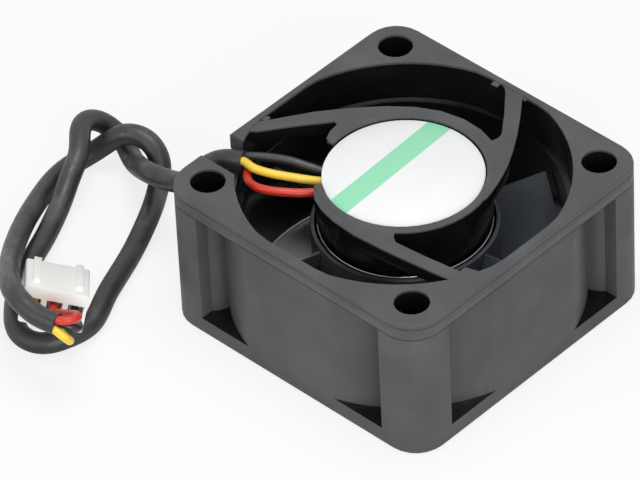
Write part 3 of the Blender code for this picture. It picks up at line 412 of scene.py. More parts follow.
@dataclass(frozen=True)
class LabelFinish(Finish):
    """White film with one plain pale green stripe across it."""

    stripe: Colour = (0.29, 0.74, 0.48)
    middle: float = -2.18 * MM
    half_width: float = 1.45 * MM
    slope: float = 0.0474
    edge: float = 0.07 * MM

    def detail(self, tree: ShaderTree, parts: Parts) -> None:
        """Print the stripe, and let its ink be a little uneven."""
        x, y, _ = tree.axes(parts.vector)
        across = tree.plus(x, tree.times(y, self.slope))
        away = tree.absolute(tree.math("SUBTRACT", across, self.middle))
        band = tree.fade(away, self.half_width - self.edge, self.half_width + self.edge)
        ink = tree.spread(tree.noise(parts.vector, 5000.0, detail=2.0), 0.3, 0.6, 0.93, 1.0)
        parts.colour = tree.mix(tree.times(band, ink), parts.colour, self.stripe)


@dataclass(frozen=True)
class WindingFinish(Finish):
    """Enamelled wire, laid in close turns."""

    pitch: float = 0.16 * MM

    def detail(self, tree: ShaderTree, parts: Parts) -> None:
        """Round each turn of the winding, with painted shade in the creases between turns."""
        x, y, _ = tree.axes(parts.vector)
        turns = tree.times(tree.distance(x, y), math.tau / self.pitch, 0.5)
        parts.height = tree.absolute(tree.math("SINE", turns))
        # Painted shade in the creases between the turns.
        parts.colour = tree.mix(tree.spread(parts.height, 0.0, 0.5), self.shade, parts.colour)


@dataclass(frozen=True)
class BoardFinish(Finish):
    """Green solder mask with copper tracks under it."""

    track: Colour = (0.05, 0.26, 0.11)
    track_scale: float = 330.0

    def detail(self, tree: ShaderTree, parts: Parts) -> None:
        """Raise concentric tracks, broken here and there."""
        rings = tree.add("ShaderNodeTexWave", Vector=parts.vector, Scale=self.track_scale,
                         Distortion=1.2, Detail=1.0)
        rings.wave_type = "RINGS"
        rings.rings_direction = "Z"
        broken = tree.spread(tree.noise(parts.vector, self.track_scale, detail=0.0), 0.47, 0.50)
        track = tree.times(tree.spread(rings.outputs["Fac"], 0.55, 0.65), broken)
        parts.colour = tree.mix(track, parts.colour, self.track)
        parts.height = tree.plus(parts.height, track)


@dataclass(frozen=True)
class LaminatedFinish(Finish):
    """Thin steel sheets, stacked along Z."""

    sheet: float = 0.5 * MM

    def detail(self, tree: ShaderTree, parts: Parts) -> None:
        """Draw the joints between the sheets."""
        turn = tree.times(tree.axes(parts.vector)[2], math.tau / self.sheet)
        joint = tree.spread(tree.math("COSINE", turn), 0.86, 0.97)
        parts.colour = tree.mix(joint, parts.colour, self.shade)
        parts.height = tree.math("SUBTRACT", parts.height, joint)


HOUSING = HousingFinish(
    "charcoal_housing_plastic", (0.087, 0.089, 0.094), (0.071, 0.073, 0.077), 0.46,
    gloss_drift=0.05,
    specular=0.25, grain_size=0.11 * MM, grain_depth=0.012 * MM, dust=0.14, scuffs=0.5)
BLADE = Finish(
    "glossy_impeller_plastic", (0.092, 0.101, 0.112), (0.072, 0.080, 0.090), 0.30, gloss_drift=0.05,
    specular=0.3, grain_depth=0.003 * MM, dust=0.25, scuffs=0.3)
LABEL = LabelFinish(
    "striped_label_film", (0.90, 0.91, 0.905), (0.87, 0.885, 0.88), 0.42,
    grain_size=0.3 * MM, grain_depth=0.003 * MM, drift_size=9 * MM, scuffs=0.4)
SLEEVE = Finish(
    "sleeve_tube_black", (0.026, 0.027, 0.029), (0.018, 0.019, 0.021), 0.42, gloss_drift=0.07,
    grain_size=0.14 * MM, grain_depth=0.012 * MM, drift_size=3.5 * MM, dust=0.5, scuffs=0.4)
INSULATION = {
    wire: Finish(f"insulation_{wire.value}", colour, shade, roughness, drift_size=2.0 * MM,
                 grain_depth=0.003 * MM, dust=dust)
    for wire, colour, shade, roughness, dust in (
        (Wire.BLACK, (0.030, 0.030, 0.032), (0.022, 0.022, 0.023), 0.34, 0.3),
        (Wire.RED, (0.66, 0.040, 0.016), (0.56, 0.028, 0.012), 0.34, 0.12),
        (Wire.YELLOW, (0.93, 0.68, 0.07), (0.88, 0.60, 0.05), 0.36, 0.10))
}
NYLON = Finish(
    "plug_nylon", (0.94, 0.935, 0.91), (0.91, 0.90, 0.86), 0.42, scatter=0.25,
    grain_depth=0.004 * MM)
TIN = Finish(
    "tinned_metal", (0.72, 0.71, 0.68), (0.62, 0.61, 0.58), 0.30, metallic=1.0,
    drift_size=1.5 * MM, grain_depth=0.004 * MM, scuffs=0.6)
STEEL = Finish(
    "drawn_steel", (0.60, 0.61, 0.62), (0.50, 0.50, 0.51), 0.26, metallic=1.0,
    drift_size=3 * MM, grain_depth=0.003 * MM, scuffs=0.8)
YOKE = Finish(
    "plated_yoke", (0.34, 0.34, 0.33), (0.29, 0.29, 0.28), 0.22, gloss_drift=0.03, metallic=1.0,
    drift_size=4 * MM, grain_depth=0.002 * MM, scuffs=0.2)
BRASS = Finish(
    "turned_brass", (0.72, 0.52, 0.22), (0.62, 0.43, 0.17), 0.30, metallic=1.0,
    drift_size=3 * MM, scuffs=0.5)
BRONZE = Finish(
    "porous_bronze", (0.56, 0.38, 0.20), (0.38, 0.24, 0.12), 0.52, metallic=1.0,
    grain_size=0.12 * MM, grain_depth=0.03 * MM, drift_size=1.0 * MM)
MAGNET = Finish(
    "bonded_magnet", (0.058, 0.055, 0.052), (0.042, 0.040, 0.038), 0.66,
    grain_size=0.10 * MM, grain_depth=0.015 * MM, drift_size=2.0 * MM)
CORE = LaminatedFinish(
    "laminated_core", (0.42, 0.43, 0.44), (0.22, 0.22, 0.23), 0.42, metallic=1.0,
    grain_depth=0.02 * MM)
FORMER = Finish("former_plastic", (0.80, 0.77, 0.66), (0.74, 0.70, 0.58), 0.48)
COPPER = WindingFinish(
    "enamelled_copper", (0.72, 0.30, 0.12), (0.36, 0.12, 0.05), 0.28, metallic=1.0, coat=0.4,
    grain_depth=0.05 * MM)
BOARD = BoardFinish(
    "solder_mask_green", (0.022, 0.150, 0.060), (0.016, 0.120, 0.048), 0.34,
    grain_depth=0.02 * MM)
COMPONENT = Finish(
    "component_black", (0.022, 0.022, 0.022), (0.016, 0.016, 0.016), 0.52,
    grain_size=0.08 * MM, grain_depth=0.01 * MM)
CERAMIC = Finish("fired_ceramic", (0.46, 0.34, 0.21), (0.40, 0.29, 0.17), 0.50)
SEAL = Finish("seal_nylon", (0.78, 0.78, 0.74), (0.72, 0.72, 0.68), 0.44)

CARRIED_FINISHES = {
    "bearing_tube": BRASS, "sleeve_bearing": BRONZE, "thrust_plate": SEAL, "oil_washer": SEAL,
    "stator_core": CORE, "coil_former_upper": FORMER, "coil_former_lower": FORMER,
    **{f"coil_{k}": COPPER for k in (1, 2, 3, 4)},
    **{f"winding_pin_{k}": TIN for k in (1, 2, 3, 4)},
    "circuit_board": BOARD, "hall_sensor": COMPONENT, "driver_chip": COMPONENT,
    "capacitor": CERAMIC, "resistor_1": COMPONENT, "resistor_2": COMPONENT,
    **{f"plug_contact_{k}": TIN for k in (1, 2, 3)},
    "magnet_ring": MAGNET, "shaft": STEEL, "shaft_clip": STEEL,
}


def linked(name: str, data: bpy.types.ID) -> Item:
    """A new object in the scene, with its data."""
    item = bpy.data.objects.new(name, data)
    bpy.context.scene.collection.objects.link(item)
    return item


def link_mesh(name: str, mesh: Mesh, finish: Finish | None = None) -> Item:
    """Put a mesh in the scene at the origin, with a finish unless it is a tool."""
    mesh.name = name
    mesh.materials.clear()
    if finish:
        mesh.materials.append(finish.build())
    return linked(name, mesh)


def merge(builder: Builder, distance: float = MERGE) -> None:
    """Join the vertices that lie together."""
    bmesh.ops.remove_doubles(builder, verts=builder.verts, dist=distance)


def to_mesh(builder: Builder, name: str, sharp: float = 35.0) -> Mesh:
    """Turn a bmesh into a smooth-shaded mesh with faces out.

    Args:
        builder: The bmesh, which is freed.
        name: The mesh's name.
        sharp: Edges with a larger angle, in degrees, are drawn sharp.

    Returns:
        The new mesh.
    """
    merge(builder)
    bmesh.ops.recalc_face_normals(builder, faces=builder.faces)
    mesh = bpy.data.meshes.new(name)
    builder.to_mesh(mesh)
    builder.free()
    mesh.shade_smooth()
    mesh.set_sharp_from_angle(angle=math.radians(sharp))
    return mesh


def reopened(mesh: Mesh) -> Builder:
    """A bmesh in place of a mesh, which is removed."""
    builder = bmesh.new()
    builder.from_mesh(mesh)
    bpy.data.meshes.remove(mesh)
    return builder


def make_piece(builder: Builder, name: str, finish: Finish, body: Body, node: str,
               sharp: float = 35.0) -> Item:
    """Make a finished piece of the fan.

    Args:
        builder: The piece's shape, which is freed.
        name: The piece's name.
        finish: Its finish.
        body: The body that it rides on.
        node: The node of the frame that it replaces.
        sharp: Edges with a larger angle, in degrees, are drawn sharp.

    Returns:
        The new object.
    """
    piece = link_mesh(name, to_mesh(builder, name, sharp), finish)
    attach(piece, body.value)
    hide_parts(node)
    return piece


def spin_profile(profile: Iterable[tuple[float, float]], steps: int = HUB_STEPS) -> Builder:
    """Spin a closed (radius, height) profile about Z into a closed solid."""
    builder = bmesh.new()
    verts = [builder.verts.new((radius, 0.0, height)) for radius, height in profile]
    edges = [builder.edges.new(pair) for pair in zip(verts, verts[1:] + verts[:1])
             if max(vert.co.x for vert in pair) > MERGE / 10]
    bmesh.ops.spin(builder, geom=verts + edges, cent=(0, 0, 0), axis=UP, angle=math.tau,
                   steps=steps, use_merge=True)
    return builder


def quarter_round(radius: float, height: float, size: float,
                  start: float) -> list[tuple[float, float]]:
    """Points on a quarter circle of a profile, from an angle on."""
    turns = [math.radians(start + 90 * i / ROUND_STEPS) for i in range(ROUND_STEPS + 1)]
    return [(radius + size * math.cos(turn), height + size * math.sin(turn)) for turn in turns]


def polar(radius: float, angle: float, height: float) -> Vector:
    """The place at a radius, an angle and a height."""
    turn = math.radians(angle)
    return Vector((radius * math.cos(turn), radius * math.sin(turn), height))


def boxes_mesh(name: str, corners: Iterable[tuple[Triple, Triple]]) -> Mesh:
    """A mesh of boxes, each between two corners."""
    builder = bmesh.new()
    for low, high in corners:
        middle = [(a + b) / 2 for a, b in zip(low, high)]
        size = [b - a for a, b in zip(low, high)]
        bmesh.ops.create_cube(builder, size=1.0, matrix=Matrix.Translation(middle)
                              @ Matrix.Diagonal((*size, 1.0)))
    return to_mesh(builder, name)


def evaluated(item: Item) -> Mesh:
    """A new mesh with an object's shape after its modifiers."""
    bpy.context.view_layer.update()
    return bpy.data.meshes.new_from_object(
        item.evaluated_get(bpy.context.evaluated_depsgraph_get()))


def carve(name: str, base: Mesh, tools: Iterable[tuple[str, Mesh]]) -> Builder:
    """Join tools to a mesh, or cut them out of it.

    Args:
        name: The piece's name.
        base: The mesh to work on, which is removed.
        tools: Pairs of the operation, UNION or DIFFERENCE, and the tool's mesh.

    Returns:
        A bmesh with the result.
    """
    body = link_mesh(name + "_blank", base)
    helpers = [body]
    for operation, mesh in tools:
        helpers.append(link_mesh(name + "_tool", mesh))
        step = body.modifiers.new("step", "BOOLEAN")
        step.operation = operation
        step.solver = "EXACT"
        step.object = helpers[-1]
    result = evaluated(body)
    for item in helpers:
        mesh = item.data
        bpy.data.objects.remove(item, do_unlink=True)
        bpy.data.meshes.remove(mesh)
    return reopened(result)


def bevel(builder: Builder, edges: Sequence[bmesh.types.BMEdge], width: float,
          segments: int) -> None:
    """Round some edges."""
    bmesh.ops.bevel(builder, geom=edges, offset=width, offset_type="OFFSET", segments=segments,
                    profile=0.5, affect="EDGES", clamp_overlap=True, material=-1)


def soften_edges(builder: Builder, width: float, angle: float, segments: int = 2) -> None:
    """Bevel every edge sharper than the angle."""
    bmesh.ops.dissolve_limit(
        builder, angle_limit=math.radians(FLAT_ANGLE), verts=builder.verts, edges=builder.edges)
    bevel(builder, [edge for edge in builder.edges
                    if len(edge.link_faces) == 2 and edge.calc_face_angle() > math.radians(angle)],
          width, segments)


def extrude(builder: Builder, faces: Sequence[bmesh.types.BMFace], way: Vector) -> None:
    """Grow faces along a vector."""
    grown = bmesh.ops.extrude_face_region(builder, geom=faces)["geom"]
    verts = [part for part in grown if isinstance(part, bmesh.types.BMVert)]
    bmesh.ops.translate(builder, verts=verts, vec=way)


def smooth_through(points: Sequence[Vector], steps: int = 10) -> list[Vector]:
    """Points on a Catmull-Rom curve through the given ones."""
    padded = [2 * points[0] - points[1], *points, 2 * points[-1] - points[-2]]
    curve = []
    for before, first, second, after in zip(padded, padded[1:], padded[2:], padded[3:]):
        for i in range(steps):
            t = i / steps
            curve.append(0.5 * (2 * first + (second - before) * t
                                + (2 * before - 5 * first + 4 * second - after) * t * t
                                + (3 * first - before - 3 * second + after) * t ** 3))
    curve.append(points[-1])
    return curve


def even_path(route: Sequence[Vector], spacing: float, relax: int) -> list[Vector]:
    """Space points evenly along a smooth curve through a route and relax them, ends kept."""
    points = smooth_through(route)
    lengths = [0.0]
    for first, second in zip(points, points[1:]):
        lengths.append(lengths[-1] + (second - first).length)
    count = max(8, round(lengths[-1] / spacing))
    path = []
    leg = 0
    for i in range(count + 1):
        reach = lengths[-1] * i / count
        while leg < len(lengths) - 2 and lengths[leg + 1] < reach:
            leg += 1
        share = (reach - lengths[leg]) / max(1e-9, lengths[leg + 1] - lengths[leg])
        path.append(points[leg].lerp(points[leg + 1], min(1.0, share)))
    for _ in range(relax):
        path[1:-1] = [(a + 2 * b + c) / 4 for a, b, c in zip(path, path[1:], path[2:])]
    return path


def tube(path: Sequence[Vector], radius: float, sides: int) -> Builder:
    """A round tube along a path, closed at both ends."""
    curve = bpy.data.curves.new("tube", "CURVE")
    curve.dimensions = "3D"
    curve.bevel_depth = radius
    curve.bevel_resolution = max(0, (sides - 4) // 2)
    curve.use_fill_caps = True
    spline = curve.splines.new("POLY")
    spline.points.add(len(path) - 1)
    for slot, point in zip(spline.points, path):
        slot.co = (*point, 1.0)
    item = linked("tube", curve)
    mesh = evaluated(item)
    bpy.data.objects.remove(item, do_unlink=True)
    bpy.data.curves.remove(curve)
    return reopened(mesh)


def turned(angle: float, axis: str = "Z") -> Matrix:
    """A turn about an axis."""
    return Matrix.Rotation(math.radians(angle), 4, axis)


def lead_place(out: float, along: float, height: float) -> Vector:
    """A place beside the frame, in mm: out of the side, along it from the notch, and up."""
    return Vector((-HALF_SIDE - out * MM, NOTCH_CENTRE_Y + along * MM, height * MM))


@dataclass
class StudioCamera:
    """The photograph's view, far away through a long lens."""

    azimuth: float = 45.09
    elevation: float = 41.48
    roll: float = -2.94
    distance: float = 0.774
    focal_length: float = 373.8
    sensor: float = 36.0
    clip: tuple[float, float] = (0.05, 20.0)
    target: Triple = (-7.13 * MM, -7.06 * MM, 10.0 * MM)

    def build(self) -> None:
        """Make the camera and set it as the scene's."""
        elevation = math.radians(self.elevation)
        back = polar(math.cos(elevation), self.azimuth - 90, math.sin(elevation))
        level = UP.cross(back).normalized()
        data = bpy.data.cameras.new("studio_camera")
        data.lens = self.focal_length
        data.sensor_width = self.sensor
        data.clip_start, data.clip_end = self.clip
        camera = linked("studio_camera", data)
        camera.matrix_world = Matrix.Translation(Vector(self.target) + back * self.distance) \
            @ Matrix((level, back.cross(level), back)).transposed().to_4x4() \
            @ turned(self.roll)
        bpy.context.scene.camera = camera


SLEEVE_EXIT = (
    (-3.4, 1.3, 1.7), (-1.4, 0.5, 2.0), (0.4, -0.1, 3.1), (2.8, -0.4, 6.0), (6.1, 0.4, 9.7),
    (9.2, 0.9, 11.5),
)
SLEEVE_ROUTE = (
    (13.1, 1.4, 7.2), (20.5, 6.0, 1.8), (24.0, 7.8, 2.0), (26.3, 7.6, 3.2), (27.3, 5.9, 4.7),
    (26.6, 3.4, 5.5), (23.8, 0.3, 4.9), (22.6, -2.6, 3.7), (21.1, -5.9, 2.3), (19.2, -10.2, 1.6),
    (17.3, -14.8, 1.5), (15.4, -18.5, 1.5), (13.1, -21.6, 1.6), (10.3, -24.2, 1.5),
    (8.0, -24.7, 1.4), (6.0, -23.9, 1.4), (4.8, -21.9, 1.5), (4.2, -17.8, 1.4), (6.4, -12.8, 1.7),
    (9.2, -5.9, 1.6), (11.9, 0.0, 2.2), (15.1, 4.7, 1.6), (16.7, 6.9, 3.0), (18.6, 7.4, 4.7),
    (20.5, 7.0, 5.3), (22.3, 6.1, 5.0), (23.8, 4.9, 3.5), (25.0, 3.5, 2.2), (25.8, 1.7, 1.6),
    (26.0, -1.0, 1.4), (24.9, -4.9, 1.6), (21.3, -11.9, 3.0), (15.6, -19.4, 5.8),
    (7.3, -26.9, 11.3), (2.5, -28.0, 11.0), (-0.5, -27.4, 10.8),
)


@dataclass(frozen=True)
class WirePlan:
    """Where one wire runs at the sleeve's two ends.

    An inner point is its share of the way from the base's edge to the outlet wall, its angle and
    its depth in mm below the top.  An outer point is in mm, as on the sleeve.  A turn is the wire's
    place round the sleeve's middle, and the landing is its angle on the circuit board.
    """

    inner_turn: float
    inner_route: tuple[Triple, ...]
    landing: float
    outer_turn: float
    outer_route: tuple[Triple, ...]
    cavity: int


WIRES = {
    Wire.BLACK: WirePlan(
        20.0, ((0.61, 206.6, 1.3), (0.36, 206.6, 1.3), (0.12, 207.0, 1.6), (-0.07, 206.8, 2.0)),
        207.0, 330.0,
        ((-1.6, -26.1, 10.0), (-1.6, -25.1, 9.3), (-0.2, -23.9, 8.3), (1.0, -23.1, 7.8)), 1),
    Wire.RED: WirePlan(
        260.0, ((0.86, 216.1, 2.2), (0.75, 222.4, 1.8), (0.54, 226.6, 1.6), (0.23, 228.5, 1.8),
                (0.00, 228.5, 2.0)),
        227.0, 90.0,
        ((-1.7, -26.7, 11.6), (-2.0, -25.7, 11.4), (-1.2, -24.8, 10.8), (1.4, -24.5, 9.3)), 0),
    Wire.YELLOW: WirePlan(
        140.0, ((0.77, 214.8, 1.1), (0.54, 216.6, 1.3), (0.27, 217.2, 1.6), (0.00, 217.0, 2.0)),
        217.0, 210.0,
        ((-1.9, -27.7, 9.8), (-2.0, -27.0, 8.8), (-0.8, -26.4, 8.2), (3.2, -26.2, 8.6)), -1),
}


@dataclass
class PlugHousing:
    """The white plug with its three wire cavities, latch windows and ribs."""

    width: float = 7.6 * MM
    depth: float = 4.7 * MM
    length: float = 7.8 * MM
    corner: float = 0.3 * MM
    rib_height: float = 0.5 * MM
    rib_width: float = 0.9 * MM
    rib_start: float = 1.2 * MM
    rib_inset: float = 0.2 * MM
    pitch: float = 2.5 * MM
    cavity: float = 1.8 * MM
    window_width: float = 1.0 * MM
    window_length: float = 1.6 * MM
    window_depth: float = 3.2 * MM
    overlap: float = 0.3 * MM
    edge: float = 0.12 * MM
    place: Triple = (4.1, -23.6, 7.8)
    heading: float = 45.0
    tilt: float = 72.0
    roll: float = -15.0

    def matrix(self) -> Matrix:
        """The plug's place and turn; its wire side is local z = 0."""
        turn = turned(self.heading) @ turned(self.tilt, "X") @ turned(self.roll)
        return Matrix.Translation(lead_place(*self.place)) @ turn

    def block(self) -> Mesh:
        """The outer block with rounded long edges."""
        x, y = self.width / 2, self.depth / 2
        builder = reopened(boxes_mesh("plug_block", [((-x, -y, -self.length), (x, y, 0.0))]))
        bevel(builder, [edge for edge in builder.edges
                        if abs(edge.verts[0].co.z - edge.verts[1].co.z) > self.length / 2],
              self.corner, segments=4)
        return to_mesh(builder, "plug_block")

    def tools(self) -> Iterable[tuple[str, Mesh]]:
        """The ribs to join, then the wire cavities and the latch windows to cut."""
        side, rib, half, window = (
            size / 2 for size in (self.depth, self.rib_width, self.cavity, self.window_width))
        rows = (-self.pitch, 0.0, self.pitch)
        yield "UNION", boxes_mesh("plug_ribs", [
            ((x - rib, side - self.overlap, self.rib_inset - self.length),
             (x + rib, side + self.rib_height, -self.rib_start)) for x in (rows[0], rows[2])])
        yield "DIFFERENCE", boxes_mesh("plug_cavities", [
            ((x - half, -half, -self.length - MM), (x + half, half, MM)) for x in rows])
        yield "DIFFERENCE", boxes_mesh("plug_windows", [
            ((x - window, -side - MM, -self.window_depth - self.window_length),
             (x + window, self.overlap - half, -self.window_depth)) for x in rows])

    def build(self) -> Item:
        """Carve the housing, soften its edges and put it in its place."""
        builder = carve("plug", self.block(), self.tools())
        merge(builder)
        soften_edges(builder, self.edge, angle=40.0, segments=3)
        bmesh.ops.transform(builder, matrix=self.matrix(), verts=builder.verts)
        return make_piece(
            builder, "plug_body", NYLON, Body.FRAME, "plug_housing", sharp=50.0)


@dataclass
class Lead:
    """The sleeve over three wires, from the motor base to the plug."""

    sleeve_diameter: float = 2.6 * MM
    sleeve_wall: float = 0.14 * MM
    sleeve_mouth: float = 1.6 * MM
    sleeve_step: float = 0.45 * MM
    wire_diameter: float = 1.04 * MM
    wire_spacing: float = 1.35 * MM
    wire_step: float = 0.2 * MM
    wire_play: float = 0.02 * MM
    mouth_depth: float = 0.3 * MM
    end_gap: float = 0.4 * MM
    plug_depths: Triple = (0.9 * MM, -0.4 * MM, -1.9 * MM)
    base_radius: float = 10.6 * MM
    outlet_radius: float = 19.6 * MM
    landing_radius: float = 8.7 * MM
    landing_height: float = 17.85 * MM

    def route(self) -> list[Vector]:
        """The sleeve's points, from the notch to its far end."""
        top = FRAME_DEPTH / MM
        return [*(lead_place(out, along, top - drop) for out, along, drop in SLEEVE_EXIT),
                *(lead_place(*point) for point in SLEEVE_ROUTE)]

    def build_sleeve(self, path: Sequence[Vector]) -> Item:
        """The sleeve, open at both ends."""
        builder = tube(path, self.sleeve_diameter / 2, sides=24)
        merge(builder, MERGE / 10)
        for cap in [face for face in builder.faces if len(face.verts) > 4]:
            inward = -cap.normal.copy()
            bmesh.ops.inset_region(
                builder, faces=[cap], thickness=self.sleeve_wall, use_even_offset=True)
            extrude(builder, [cap], inward * self.sleeve_mouth)
            bmesh.ops.delete(builder, geom=[cap], context="FACES_ONLY")
        return make_piece(
            builder, "sleeve_tube", SLEEVE, Body.FRAME, "cable_sleeve", sharp=50.0)

    def mouth(self, end: Vector, before: Vector, turn: float) -> list[Vector]:
        """Where a wire comes out of the sleeve: inside it, at its edge and just beyond.

        Args:
            end: The sleeve's end.
            before: The point before it on the sleeve's route.
            turn: The wire's place round the sleeve's middle.

        Returns:
            Three points on the wire.
        """
        direction = (end - before).normalized()
        across = UP.cross(direction).normalized()
        angle = math.radians(turn)
        aside = math.cos(angle) * across + math.sin(angle) * direction.cross(across)
        tight = self.wire_diameter / math.sqrt(3) + self.wire_play
        wide = self.wire_spacing / math.sqrt(3)
        places = ((self.mouth_depth - self.sleeve_mouth, tight), (-self.mouth_depth, tight),
                  (self.end_gap, wide))
        return [end + direction * ahead + reach * aside for ahead, reach in places]

    def wire(self, colour: Wire, points: Sequence[Vector], end: str, node: str) -> Item:
        """One wire along its points, in place of a node of the frame."""
        path = even_path(points, self.wire_step, relax=4)
        return make_piece(
            tube(path, self.wire_diameter / 2, sides=16), f"wire_{colour.value}_{end}",
            INSULATION[colour], Body.FRAME, node, sharp=50.0)

    def build_inner(self, colour: Wire) -> Item:
        """The wire from the sleeve down to the board."""
        plan = WIRES[colour]
        points = self.mouth(*self.route()[:2], plan.inner_turn)
        for share, angle, drop in plan.inner_route:
            radius = self.base_radius + share * (self.outlet_radius - self.base_radius)
            points.append(polar(radius, angle, FRAME_DEPTH - drop * MM))
        points.append(polar(self.landing_radius, plan.landing, self.landing_height))
        return self.wire(colour, points, "motor_end", f"lead_{colour.value}_inner")

    def build_outer(self, colour: Wire, plug: PlugHousing) -> Item:
        """The wire from the sleeve's far end into the plug."""
        plan = WIRES[colour]
        points = self.mouth(*self.route()[:-3:-1], plan.outer_turn)
        points += [lead_place(*point) for point in plan.outer_route]
        points += [plug.matrix() @ Vector((plan.cavity * plug.pitch, 0.0, depth))
                   for depth in self.plug_depths]
        return self.wire(colour, points, "plug_end", f"lead_{colour.value}_outer")

    def build(self) -> list[Item]:
        path = even_path(self.route(), self.sleeve_step, relax=8)
        sleeve = self.build_sleeve(path)
        plug = PlugHousing()
        housing = plug.build()
        inner = [self.build_inner(colour) for colour in Wire]
        outer = [self.build_outer(colour, plug) for colour in Wire]
        return [sleeve, housing, *inner, *outer]


@dataclass
class Housing:
    """The frame moulding, with softened edges, rim tabs and the mould's lines."""

    edge: float = 0.13 * MM
    lines: tuple[Triple, ...] = (
        (17.66 * MM, 0.16 * MM, 0.09 * MM), (19.25 * MM, 0.14 * MM, 0.07 * MM))
    line_zone: float = 1.3 * MM
    tab_radius: float = 19.25 * MM
    tab_top: float = 19.85 * MM
    tab_depth: float = 0.6 * MM
    tab_root: float = 0.4 * MM
    tabs: tuple[Triple, ...] = (
        (97.6, 0.55 * MM, 0.9 * MM), (84.2, 0.30 * MM, 0.5 * MM), (190.3, 0.45 * MM, 0.8 * MM))

    def tab_mesh(self) -> Mesh:
        """The little tabs that the mould leaves on the rim beside the struts."""
        builder = bmesh.new()
        for angle, reach, width in self.tabs:
            place = turned(angle) \
                @ Matrix.Translation((self.tab_radius, 0.0, self.tab_top - self.tab_depth / 2)) \
                @ Matrix.Diagonal((2 * reach + self.tab_root, width, self.tab_depth, 1.0))
            bmesh.ops.create_cube(builder, size=1.0, matrix=place)
        return to_mesh(builder, "rim_tabs")

    def score(self, builder: Builder) -> None:
        """Cut the mould's fine lines round the outside."""
        for height, width, depth in self.lines:
            for step in (-1, 0, 1):
                bmesh.ops.bisect_plane(
                    builder, geom=builder.verts[:] + builder.edges[:] + builder.faces[:],
                    dist=MERGE / 10, plane_co=(0, 0, height + step * width / 2), plane_no=UP)
            for vert in builder.verts:
                outward = Vector((vert.normal.x, vert.normal.y, 0.0))
                reach = max(abs(vert.co.x), abs(vert.co.y))
                outside = reach > HALF_SIDE - self.line_zone and outward.dot(vert.co) > 0
                if outside and abs(vert.co.z - height) < MERGE:
                    vert.co -= outward.normalized() * depth

    def build(self) -> Item:
        """Refine the frame's own shape."""
        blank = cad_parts["frame_housing"].data.copy()
        merged = bmesh.new()
        merged.from_mesh(blank)
        merge(merged, 2 * MERGE)
        merged.to_mesh(blank)
        merged.free()
        builder = carve("frame_moulding", blank, [("UNION", self.tab_mesh())])
        merge(builder, 2 * MERGE)
        soften_edges(builder, self.edge, angle=32.0)
        self.score(builder)
        return make_piece(builder, "frame_moulding", HOUSING, Body.FRAME, "frame_housing",
                          sharp=40.0)


